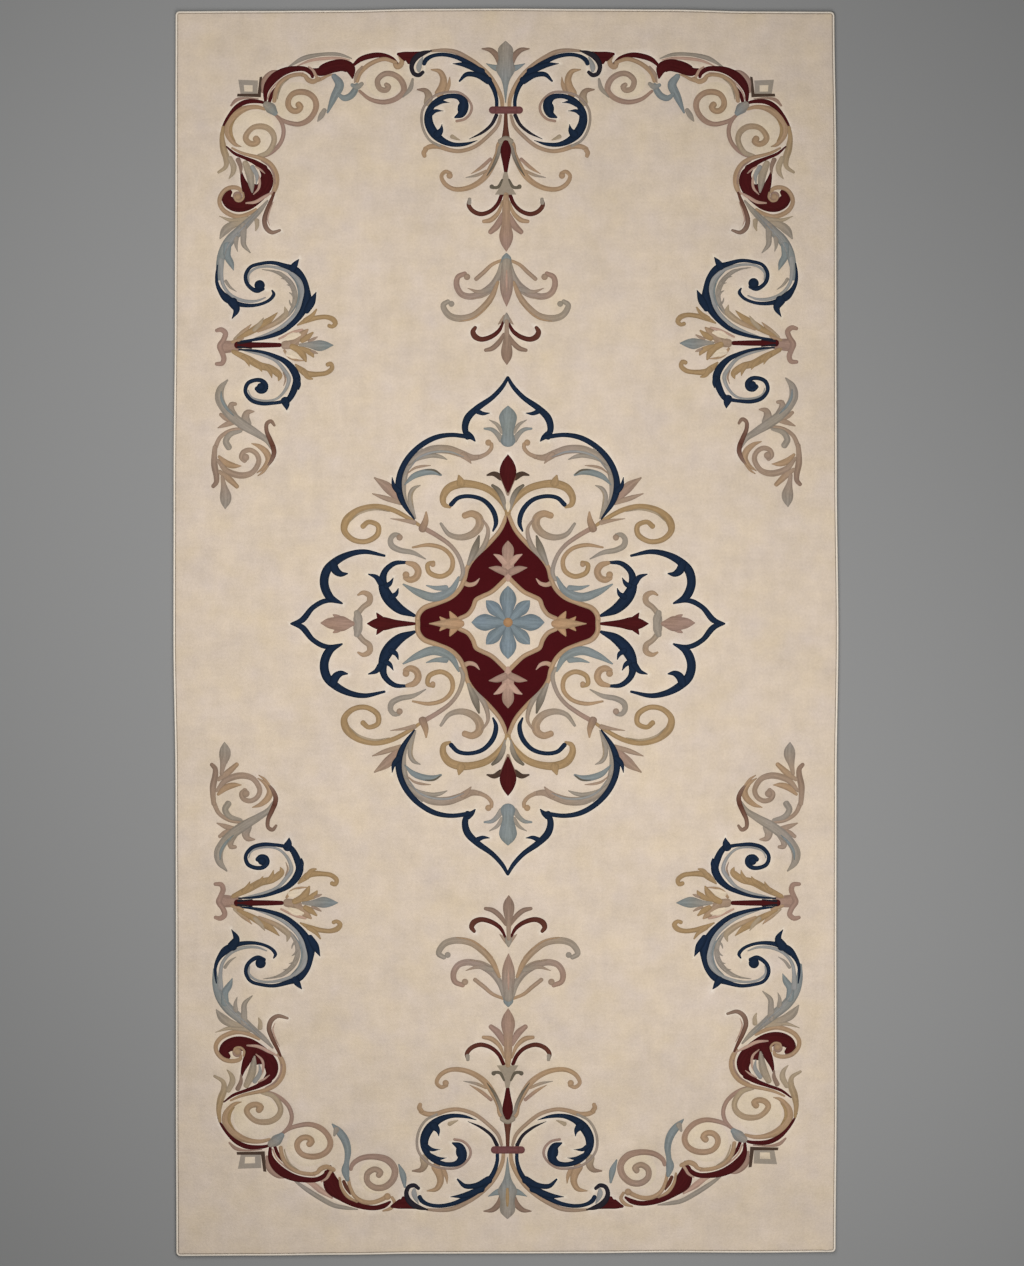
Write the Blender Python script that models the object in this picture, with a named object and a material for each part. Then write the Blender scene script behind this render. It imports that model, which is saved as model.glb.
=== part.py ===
"""A hand-tufted rug that lies flat, pile side up, in metres with +Z up.

The origin is under the middle of the rug, on the floor. +Y runs along the rug's length and +X across it.
The pile, the foundation cloth that it is punched into and the cloth glued on under it are one slab.
A yarn-whipped edge runs all the way round the slab as a piece of its own.
"""

import math
from collections import namedtuple

import bmesh
import bpy

RUG_WIDTH = 1.5915
RUG_LENGTH = 2.9914
THICKNESS = 0.012

WHIPPED_WIDTH = 0.0055
WHIPPED_HEIGHT = 0.0090
CORNER_RADIUS = 0.0100
SEAM_GAP = 0.0003

PILE_ROUNDING = 0.0025
PILE_ROUNDING_STEPS = 3

SIDE_STEPS = 26
CORNER_STEPS = 4
PROFILE_POINTS = 14
PROFILE_SQUARENESS = 2.8
WELD_DISTANCE = 0.00001

MM = 0.001

# How many millimetres each side stands out of a true rectangle. The left and right sides are read from
# bottom to top and the bottom and top sides from left to right, with the pile towards the eye.
Drift = namedtuple("Drift", "along left right bottom top")
DRIFTS = [
    Drift(along=0.000, left=-3.6, right=-2.0, bottom=5.3, top=-3.1),
    Drift(along=0.125, left=-2.4, right=0.7, bottom=4.3, top=-2.2),
    Drift(along=0.250, left=-2.4, right=0.0, bottom=2.4, top=-1.2),
    Drift(along=0.375, left=-1.4, right=0.5, bottom=-0.2, top=2.6),
    Drift(along=0.500, left=3.6, right=5.0, bottom=-0.7, top=3.4),
    Drift(along=0.625, left=3.1, right=1.2, bottom=-1.4, top=2.2),
    Drift(along=0.750, left=0.0, right=0.2, bottom=-3.4, top=1.2),
    Drift(along=0.875, left=-1.2, right=-0.2, bottom=-2.6, top=-3.4),
    Drift(along=1.000, left=-1.9, right=-4.8, bottom=-4.1, top=-4.1),
]

PILE_COLOUR = (0.60, 0.49, 0.37, 1.0)
WHIPPING_COLOUR = (0.66, 0.60, 0.52, 1.0)
YARN_ROUGHNESS = 0.95


def clear_scene():
    for thing in list(bpy.data.objects):
        bpy.data.objects.remove(thing)


def make_material(name, colour):
    material = bpy.data.materials.new(name)
    material.use_nodes = True
    shader = material.node_tree.nodes["Principled BSDF"]
    shader.inputs["Base Color"].default_value = colour
    shader.inputs["Roughness"].default_value = YARN_ROUGHNESS
    shader.inputs["Metallic"].default_value = 0.0
    return material


def drift_at(side, along):
    """How far a side stands out at a share of the way along it, in metres, eased between the rows."""
    along = min(max(along, 0.0), 1.0)
    for before, after in zip(DRIFTS, DRIFTS[1:]):
        if along <= after.along:
            share = (along - before.along) / (after.along - before.along)
            ease = share * share * (3 - 2 * share)
            return MM * (getattr(before, side) * (1 - ease) + getattr(after, side) * ease)


def pulled_out_of_true(x, y):
    """Where a point of the true rectangle lies once each side has drifted."""
    across = x / RUG_WIDTH + 0.5
    up = y / RUG_LENGTH + 0.5
    moved_x = x + across * drift_at("right", up) - (1 - across) * drift_at("left", up)
    moved_y = y + up * drift_at("top", across) - (1 - up) * drift_at("bottom", across)
    return moved_x, moved_y


def true_outline(inset):
    """Points anticlockwise round a rectangle with round corners, this far inside the rug's outer edge."""
    radius = CORNER_RADIUS - inset
    middle_x = RUG_WIDTH / 2 - CORNER_RADIUS
    middle_y = RUG_LENGTH / 2 - CORNER_RADIUS
    centres = [(middle_x, -middle_y), (middle_x, middle_y), (-middle_x, middle_y), (-middle_x, -middle_y)]
    points = []
    for quarter, (centre_x, centre_y) in enumerate(centres):
        for step in range(CORNER_STEPS + 1):
            angle = math.radians(90) * (quarter - 1 + step / CORNER_STEPS)
            points.append((centre_x + radius * math.cos(angle), centre_y + radius * math.sin(angle)))
        end_x, end_y = points[-1]
        next_x, next_y = centres[(quarter + 1) % len(centres)]
        next_x += radius * math.cos(angle)
        next_y += radius * math.sin(angle)
        for step in range(1, SIDE_STEPS):
            share = step / SIDE_STEPS
            points.append((end_x + share * (next_x - end_x), end_y + share * (next_y - end_y)))
    return points


def middle_of_outline():
    """The middle of the box round the outer edge, which is put over the origin."""
    edge = [pulled_out_of_true(x, y) for x, y in true_outline(0.0)]
    across, up = zip(*edge)
    return (min(across) + max(across)) / 2, (min(up) + max(up)) / 2


def outline(inset, middle):
    """Points anticlockwise round the uneven rug, this far inside its outer edge."""
    moved = [pulled_out_of_true(x, y) for x, y in true_outline(inset)]
    return [(x - middle[0], y - middle[1]) for x, y in moved]


def closed_path(name, points, height, dimensions):
    """A closed curve object through the points, level at this height."""
    data = bpy.data.curves.new(name, "CURVE")
    data.dimensions = dimensions
    spline = data.splines.new("POLY")
    spline.points.add(len(points) - 1)
    for point, (x, y) in zip(spline.points, points):
        point.co = (x, y, height, 1.0)
    spline.use_cyclic_u = True
    return bpy.data.objects.new(name, data)


def cut_into_even_cells(shape):
    """Cuts a flat face across and along at every step of its sides, so that no face is a long sliver."""
    middle_x = RUG_WIDTH / 2 - CORNER_RADIUS
    middle_y = RUG_LENGTH / 2 - CORNER_RADIUS
    for step in range(SIDE_STEPS + 1):
        share = 2 * step / SIDE_STEPS - 1
        for place, across in (((share * middle_x, 0, 0), (1, 0, 0)), ((0, share * middle_y, 0), (0, 1, 0))):
            bmesh.ops.bisect_plane(
                shape,
                geom=shape.verts[:] + shape.edges[:] + shape.faces[:],
                dist=WELD_DISTANCE,
                plane_co=place,
                plane_no=across,
            )


def make_pile(collection, middle):
    """The slab of pile and backing: the rug's outline, with the pile's upper rim rounded over."""
    shape = bmesh.new()
    rim = [shape.verts.new((x, y, 0)) for x, y in true_outline(WHIPPED_WIDTH + SEAM_GAP)]
    shape.faces.new(rim)
    cut_into_even_cells(shape)
    for corner in shape.verts:
        x, y = pulled_out_of_true(corner.co.x, corner.co.y)
        corner.co = (x - middle[0], y - middle[1], 0)
    walls = bmesh.ops.extrude_face_region(shape, geom=shape.faces[:])["geom"]
    raised = [part for part in walls if isinstance(part, bmesh.types.BMVert)]
    bmesh.ops.translate(shape, verts=raised, vec=(0, 0, THICKNESS))
    bmesh.ops.recalc_face_normals(shape, faces=shape.faces)
    upper_rim = [edge for edge in shape.edges if is_upper_rim(edge)]
    bmesh.ops.bevel(
        shape,
        geom=upper_rim,
        affect="EDGES",
        offset=PILE_ROUNDING,
        segments=PILE_ROUNDING_STEPS,
        profile=0.5,
        material=-1,
    )
    mesh = bpy.data.meshes.new("tufted_pile")
    shape.to_mesh(mesh)
    shape.free()
    slab = bpy.data.objects.new("tufted_pile", mesh)
    collection.objects.link(slab)
    slab.data.materials.append(make_material("undyed_pile", PILE_COLOUR))
    return slab


def is_upper_rim(edge):
    """Whether an edge of the slab lies between its top and its side wall."""
    faces_up = [face.normal.z > 0.5 for face in edge.link_faces]
    on_top = min(corner.co.z for corner in edge.verts) > THICKNESS / 2
    return on_top and faces_up.count(True) == 1


def whipping_profile(collection):
    """The whipped edge's section, a soft rectangle, as a closed curve to sweep round the rug."""
    points = []
    for number in range(PROFILE_POINTS):
        angle = math.tau * (number + 0.5) / PROFILE_POINTS
        across = math.copysign(abs(math.cos(angle)) ** (2 / PROFILE_SQUARENESS), math.cos(angle))
        up = math.copysign(abs(math.sin(angle)) ** (2 / PROFILE_SQUARENESS), math.sin(angle))
        points.append((across * WHIPPED_WIDTH / 2, up * WHIPPED_HEIGHT / 2))
    profile = closed_path("whipping_profile", points, 0.0, "2D")
    profile.hide_render = True
    profile.display_type = "WIRE"
    collection.objects.link(profile)
    return profile


def make_whipped_edge(collection, helpers, middle):
    """The yarn-whipped edge, swept round the rug just outside the pile."""
    path = closed_path("whipping_path", outline(WHIPPED_WIDTH / 2, middle), WHIPPED_HEIGHT / 2, "3D")
    path.data.twist_mode = "Z_UP"
    path.data.bevel_mode = "OBJECT"
    path.data.bevel_object = whipping_profile(helpers)
    collection.objects.link(path)
    bpy.context.view_layer.update()
    mesh = bpy.data.meshes.new_from_object(path.evaluated_get(bpy.context.evaluated_depsgraph_get()))
    shape = bmesh.new()
    shape.from_mesh(mesh)
    bmesh.ops.remove_doubles(shape, verts=shape.verts, dist=WELD_DISTANCE)
    bmesh.ops.recalc_face_normals(shape, faces=shape.faces)
    shape.to_mesh(mesh)
    shape.free()
    bpy.data.objects.remove(path)
    edge = bpy.data.objects.new("whipped_edge", mesh)
    collection.objects.link(edge)
    edge.data.materials.append(make_material("whipping_yarn", WHIPPING_COLOUR))
    for polygon in edge.data.polygons:
        polygon.use_smooth = True
    return edge


def main():
    clear_scene()
    rug = bpy.data.collections.new("hand_tufted_rug")
    helpers = bpy.data.collections.new("rug_helpers")
    bpy.context.scene.collection.children.link(rug)
    bpy.context.scene.collection.children.link(helpers)
    middle = middle_of_outline()
    make_pile(rug, middle)
    make_whipped_edge(rug, helpers, middle)


main()
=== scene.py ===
"""Looks for the hand-tufted rug: the drawn scrollwork in cut pile, the whipped edge and the backing cloth.

The design is traditional scrollwork. It is charted on squared paper, as a tufter's cartoon is: rows of
tapered strokes, curls, leaves and buds, each with the yarn that it is worked in. Half or a quarter of the design
is charted, and the rest is placed by mirroring it, with the small drifts of hand work.
Every yarn is worked as its own area of pile, with a shallow carved line where two yarns meet.
"""

import math
from collections import namedtuple

import bmesh
import bpy
import numpy as np
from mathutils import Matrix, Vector
from mathutils.bvhtree import BVHTree
from mathutils.geometry import delaunay_2d_cdt, tessellate_polygon
from mathutils.kdtree import KDTree


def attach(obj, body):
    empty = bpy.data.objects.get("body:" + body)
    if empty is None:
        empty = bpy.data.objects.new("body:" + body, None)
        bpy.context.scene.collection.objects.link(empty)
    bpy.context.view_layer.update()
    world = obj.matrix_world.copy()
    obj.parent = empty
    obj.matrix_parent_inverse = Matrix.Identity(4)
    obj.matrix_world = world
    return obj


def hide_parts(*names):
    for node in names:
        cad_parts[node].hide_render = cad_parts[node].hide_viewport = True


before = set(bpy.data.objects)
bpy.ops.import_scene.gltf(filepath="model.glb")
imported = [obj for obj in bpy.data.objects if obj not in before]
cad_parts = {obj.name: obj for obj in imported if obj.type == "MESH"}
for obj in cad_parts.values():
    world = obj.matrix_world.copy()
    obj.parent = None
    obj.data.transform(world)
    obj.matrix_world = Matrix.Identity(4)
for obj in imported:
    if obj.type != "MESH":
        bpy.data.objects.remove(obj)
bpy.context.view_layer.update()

MM = 0.001

# The rug's outline, the same as in the CAD source, in metres.
RUG_WIDTH = 1.5915
RUG_LENGTH = 2.9914
THICKNESS = 0.012
WHIPPED_WIDTH = 0.0055
WHIPPED_HEIGHT = 0.0090
CORNER_RADIUS = 0.0100
SEAM_GAP = 0.0003
PILE_ROUNDING = 0.0025
PROFILE_POINTS = 10
PROFILE_SQUARENESS = 2.8
SIDE_STEPS = 130
CORNER_STEPS = 5

Drift = namedtuple("Drift", "along left right bottom top")
DRIFTS = [
    Drift(along=0.000, left=-3.6, right=-2.0, bottom=5.3, top=-3.1),
    Drift(along=0.125, left=-2.4, right=0.7, bottom=4.3, top=-2.2),
    Drift(along=0.250, left=-2.4, right=0.0, bottom=2.4, top=-1.2),
    Drift(along=0.375, left=-1.4, right=0.5, bottom=-0.2, top=2.6),
    Drift(along=0.500, left=3.6, right=5.0, bottom=-0.7, top=3.4),
    Drift(along=0.625, left=3.1, right=1.2, bottom=-1.4, top=2.2),
    Drift(along=0.750, left=0.0, right=0.2, bottom=-3.4, top=1.2),
    Drift(along=0.875, left=-1.2, right=-0.2, bottom=-2.6, top=-3.4),
    Drift(along=1.000, left=-1.9, right=-4.8, bottom=-4.1, top=-4.1),
]

# Squared paper: one square is one tuft row, x runs right and y runs down the paper.
SQUARE = 0.002403
PAPER_MIDDLE = (505.9, 632.3)

STATION_STEP = 1.6
CARVED_SQUARES = 0.85
CARVED_DEPTH = 0.0006
GRID_STEP = 0.014
POINT_GAP = 0.42
TIP_WIDTH = 0.6
ROUND_END_FROM = 0.8
ROUND_END_REACH = 0.85
WELD = 0.00002
STACK_STEP = 0.001
DISPLAY_GAMMA = 2.2
LAY_STRENGTH = 0.75
GROUND = -1

# The yarns, as they look in even daylight: red, green and blue out of 255, and how much darker a stroke is at its edge.
# That darkening is partly the darker outline yarn of the design and partly painted shade that makes the stroke look
# rounded and raised.
Yarn = namedtuple("Yarn", "red green blue edge family")
YARNS = {
    "ground": Yarn(206, 189, 170, 1.00, "ground"),
    "halo": Yarn(222, 209, 192, 1.00, "ground"),
    "cream": Yarn(210, 193, 170, 0.99, "ground"),
    "navy": Yarn(28, 41, 60, 0.76, "navy"),
    "night": Yarn(40, 37, 44, 0.82, "navy"),
    "wine": Yarn(71, 22, 23, 0.88, "wine"),
    "claret": Yarn(66, 14, 18, 1.00, "wine"),
    "rust": Yarn(96, 58, 46, 0.84, "wine"),
    "clasp": Yarn(112, 70, 69, 0.86, "wine"),
    "umber": Yarn(74, 58, 48, 0.84, "wine"),
    "tan": Yarn(167, 138, 109, 0.85, "gold"),
    "gold": Yarn(161, 133, 97, 0.85, "gold"),
    "button": Yarn(164, 126, 90, 0.88, "gold"),
    "straw": Yarn(173, 138, 105, 0.84, "gold"),
    "olive": Yarn(165, 147, 123, 0.86, "gold"),
    "brown": Yarn(138, 114, 98, 0.84, "mauve"),
    "taupe": Yarn(157, 134, 115, 0.86, "mauve"),
    "mauve": Yarn(155, 127, 112, 0.86, "mauve"),
    "pink": Yarn(180, 148, 131, 0.88, "mauve"),
    "grey": Yarn(150, 139, 126, 0.86, "grey"),
    "blue": Yarn(128, 134, 133, 0.84, "grey"),
    "petal": Yarn(121, 132, 137, 0.80, "grey"),
    "pale": Yarn(147, 145, 141, 0.86, "grey"),
    "bell": Yarn(149, 136, 119, 0.82, "grey"),
    "slate": Yarn(101, 92, 78, 0.86, "grey"),
}
FAMILIES = ["ground", "navy", "wine", "gold", "mauve", "grey"]

# One row of the chart. The yarn may change along the stroke: "mauve>tan". The path is in squares, and the widths
# are spread evenly along it. A path of one point is a round spot. Shift moves a stroke to one side of its path.
Stroke = namedtuple("Stroke", "yarn path widths shift", defaults=(0.0,))

# A whole area in one yarn, by the path round its edge.
Field = namedtuple("Field", "yarn path")

# Top middle, left of its axis: the paired navy scrolls, the arch and the burgundy patch that ties in the border.
CENTRE_HALF = [
    Stroke("wine", "399.5,54.5 404,56 408.5,58.5 409,62.5", "4 8 9 4"),
    Stroke("wine", "398,54 404,54.6 412,54.8 421,53.6 430,51.8", "3 6 6.5 4.6 1"),
    Stroke(
        "taupe>tan",
        "431,50.8 444.5,50.2 456,52 468,58 480,66.4 490.5,77 497.6,88.5 501.6,99 502.4,107",
        "2.6 4 4.6 4.6 4.6 4.6 4.4 4.2 3.6",
    ),
    Stroke("tan", "445.5,91 448.8,84.5 449.8,76.6", "6 4 0.6"),
    Stroke("tan", "439,93.5 442.6,86 443.4,78.4 439.6,71.4 430.6,69.4", "9 8 6.6 5 1"),
    Stroke("olive>brown", "428,102.5 428.6,95.6 425.4,90.6 416.8,89.4", "8.6 7.6 5.4 1.2"),
    Stroke(
        "navy",
        "496.7,107 496.5,99 493,87.4 486,77 476.5,68.5 465.5,61.4 455,56.6 442,54.4 431.5,56.2 425.8,60 424,63.6",
        "3.6 3.8 4.7 5.6 6 5 4.4 4 4 4.8 4.4",
    ),
    Stroke("navy", "482,71.5 466,65 452.6,63.5", "7 5.6 0.5"),
    Stroke("navy", "488.5,80.5 477,75 466.4,74.4 459.5,81", "8 5.6 4.8 2"),
    Stroke("night", "432,50.6 424,52.8 417.6,56 413,61.6 411.6,67.6 414,73.6 419,75 423,72", "1 4.6 6 5.4 4.6 4.4 4.4 3.6"),
    Stroke("pale", "423,56.6 420.2,62.4 418.8,67.6 419,71", "1 4.4 5.4 3"),
    Stroke(
        "taupe>tan",
        "500.6,115.5 497.4,125.5 487,137 474.6,146.6 460,151 450,150 438.5,146.4 430,146.6 425,149",
        "3 3.6 3.8 4 4 4.4 5 5 4.6",
    ),
    Stroke("tan", "426,149.5 423.8,152.5 424.6,156", "4.4 5 4"),
    Stroke(
        "grey>mauve",
        "440,146 430,140.3 424,131 421.5,120 422.7,109.5 428,101.3 436,95 448,92 458.7,92.5 467,98 471.6,106 "
        "470.4,113 464.6,119 456.5,121",
        "2.6",
    ),
    Stroke("night", "496.5,115 491.5,124.5 482,132.6 469,139", "4 3.4 2.8 0.5"),
    Stroke(
        "navy",
        "477.5,140.3 465.5,144 453,144.4 442,140.3 434,133 428.8,122.6 428.8,113 432.7,105 440,99 449,96 458.7,97 "
        "463.5,102 463,108 461,114 455,117.3",
        "0.5 3.5 4.7 7 9.4 9 7.6 6 5.5 4.8 6 9 11 8 2",
    ),
    Stroke("navy", "432.5,106 441,102 449.5,102.5", "4.5 4 0"),
    Stroke("navy", "429,115.5 435,111 443.5,110.8", "5 4 0"),
    Stroke("navy", "437.5,134.4 441,130 442,124", "9 5 0"),
    Stroke("olive", "460,140 455.6,138.2 452,136.4", "0.8 3 4.4"),
]

# Below them: the arch and the three pendants, left of the axis.
PENDANT_HALF = [
    Stroke(
        "tan",
        "505.8,139 499.4,144 497.6,153.3 493,164 486,175.7 476.3,184 464.6,188.7 453,188.7 444.5,183.3 441.5,175.7 "
        "445.7,171.5 450.4,173.5",
        "5 5.5 5.5 6 6 5.5 5 4.6 4.4 4 4 4",
    ),
    Stroke("tan", "449.6,175.6", "6.4"),
    Stroke("grey>slate", "503,141 499,146.5 497,154 492.6,164.4 485.6,175.4", "3 3.6 3.6 3 0.6", -1.2),
    Stroke("mauve>tan", "490.5,159 481,167.5 471,173.8", "3.5 3.5 0.5"),
    Stroke("tan>grey", "486,171 476.3,175.3 465.5,177.5", "3 3 0.5"),
    Stroke("wine>rust", "501.7,194.6 497.6,204 490.5,211 481,214 473,211 468.7,205 469.5,200.5", "3.8 4 4.2 4.6 4.6 4.4 4"),
    Stroke("grey", "469.3,203 469.6,199", "4.2 3.5"),
    Stroke("tan", "502.7,200.8 498,213 490.6,220 483.6,221.4", "2 4 5 3.6"),
    Stroke("mauve", "502.7,214 497,225.6 490.4,232", "4 7 5"),
    Stroke("tan>taupe", "502,260 492,264.6 484,272 476,279", "3 3.6 4.2 4.2"),
    Stroke(
        "grey>mauve",
        "503,262.5 499,274.7 491.8,285.6 482,292.8 471,296.5 461.5,294 456.7,285.6 458,277 465,273.5",
        "6 6.4 6.8 6.8 6.6 6.2 6 5.4 4.6",
    ),
    Stroke("grey>taupe", "498,281 490,290.6 480.6,295.6 470.6,297", "0.8 1.8 2 0.8", -1.6),
    Stroke("taupe", "467,276.8", "6.6"),
    Stroke("grey>taupe", "491,289 478.5,291.8 467.5,288", "5 4 0.5"),
    Stroke(
        "tan>grey",
        "498,282 491.8,296.5 483.3,307.4 472.4,316 458,318.3 448.2,314.6 443.3,305 448.2,301.3",
        "3 5.8 6.6 6.8 6.8 6.4 5.6 4.4",
    ),
    Stroke("tan", "491,300 482,309.6 471.4,317 459,319.6", "0.8 1.8 1.8 0.8", -1.8),
    Stroke("grey", "451.4,303.8", "6"),
    Stroke("taupe", "504.5,316 501.5,321 498,324.5", "3 3.5 0.5"),
    Stroke("wine>rust", "504,320.5 498.6,331 490,337.2 481,339.2 474.8,336.2 473,331.4 475.4,327.4", "2 4 4.8 5.2 6 5.2 3.6"),
    Stroke("brown", "504,334 498.6,342.6 492,348.4 485.4,350.2", "3 5 5 3.4"),
]

# On the middle axis of the top group.
CENTRE_AXIS = [
    Stroke("brown", "500,64 496.5,55.5 490.5,50 481.5,48.6", "5 6 5 1"),
    Stroke("brown", "511.2,64 514.7,55.5 520.7,50 529.7,48.6", "5 6 5 1"),
    Stroke("blue", "504,68.5 496,67.8 486,63.4", "9 6.4 0.5"),
    Stroke("blue", "507.2,68.5 515.2,67.8 525.2,63.4", "9 6.4 0.5"),
    Stroke(
        "blue>grey",
        "505.6,103 505.6,92 505.6,85 505.6,79 505.6,73.5 505.6,69.5 505.6,64 505.6,58.5 505.6,52 505.6,47 505.6,40.8",
        "0.6 3.4 5.6 9.4 16 19.6 17 14.2 15.4 13.4 0.6",
    ),
    Stroke("rust", "505.8,113 505.8,127 505.8,138", "3.5 5 8.3"),
    Stroke("bell", "500.5,141.5 505.8,139.5 511,141.5", "6 7.5 6"),
    Stroke("wine", "505.8,142.6 505.8,147 505.8,153 505.8,162 505.8,173.5", "6 9.8 10.6 7 3"),
    Field("bell", "503.8,172 507.4,172 509.8,182 512,187.4 516.6,194.6 494.8,194.6 499.4,187.4 501.6,182"),
    Stroke("slate", "502.3,179.5 498,187 493,187.6", "2 3.2 3"),
    Stroke("slate", "509,179.5 513.3,187 518.2,187.6", "2 3.2 3"),
    Stroke("slate", "491.8,186.6", "4.6"),
    Stroke("slate", "519.4,186.6", "4.6"),
    Stroke("tan>mauve", "506,194.5 506.2,209 506.2,222 506.2,236 506.2,244 506.3,251.5", "5 8 8.5 14 10 0.5"),
    Stroke("blue", "506.4,252.9 506.4,257 506.4,262", "1 9 10"),
    Stroke("grey>mauve", "506.5,262 506.5,272 506.5,280 506.5,290 506.5,298 506.6,306.5", "9 11.4 13 12.4 8 0.5"),
    Stroke("pink", "506.6,270 506.6,280 506.6,292", "1 2.2 0.6"),
    Stroke("grey", "506.6,312.6 506.6,317 506.6,321", "1 6 7"),
    Stroke("taupe>brown", "506.8,321 506.8,334 506.8,342 506.8,351 506.8,358 506.9,364.8", "4 5 8 11.4 9.4 0.5"),
    Stroke("clasp", "492.5,110 506,110 519.5,110", "7.4"),
    Stroke("clasp", "492.6,110", "7.4"),
    Stroke("clasp", "519.4,110", "7.4"),
]

# The pale stamen that only the lower palmette has.
STAMEN = [Stroke("gold", "505.5,71 505.5,62 505.5,54", "2.6 3.6 2")]

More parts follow.
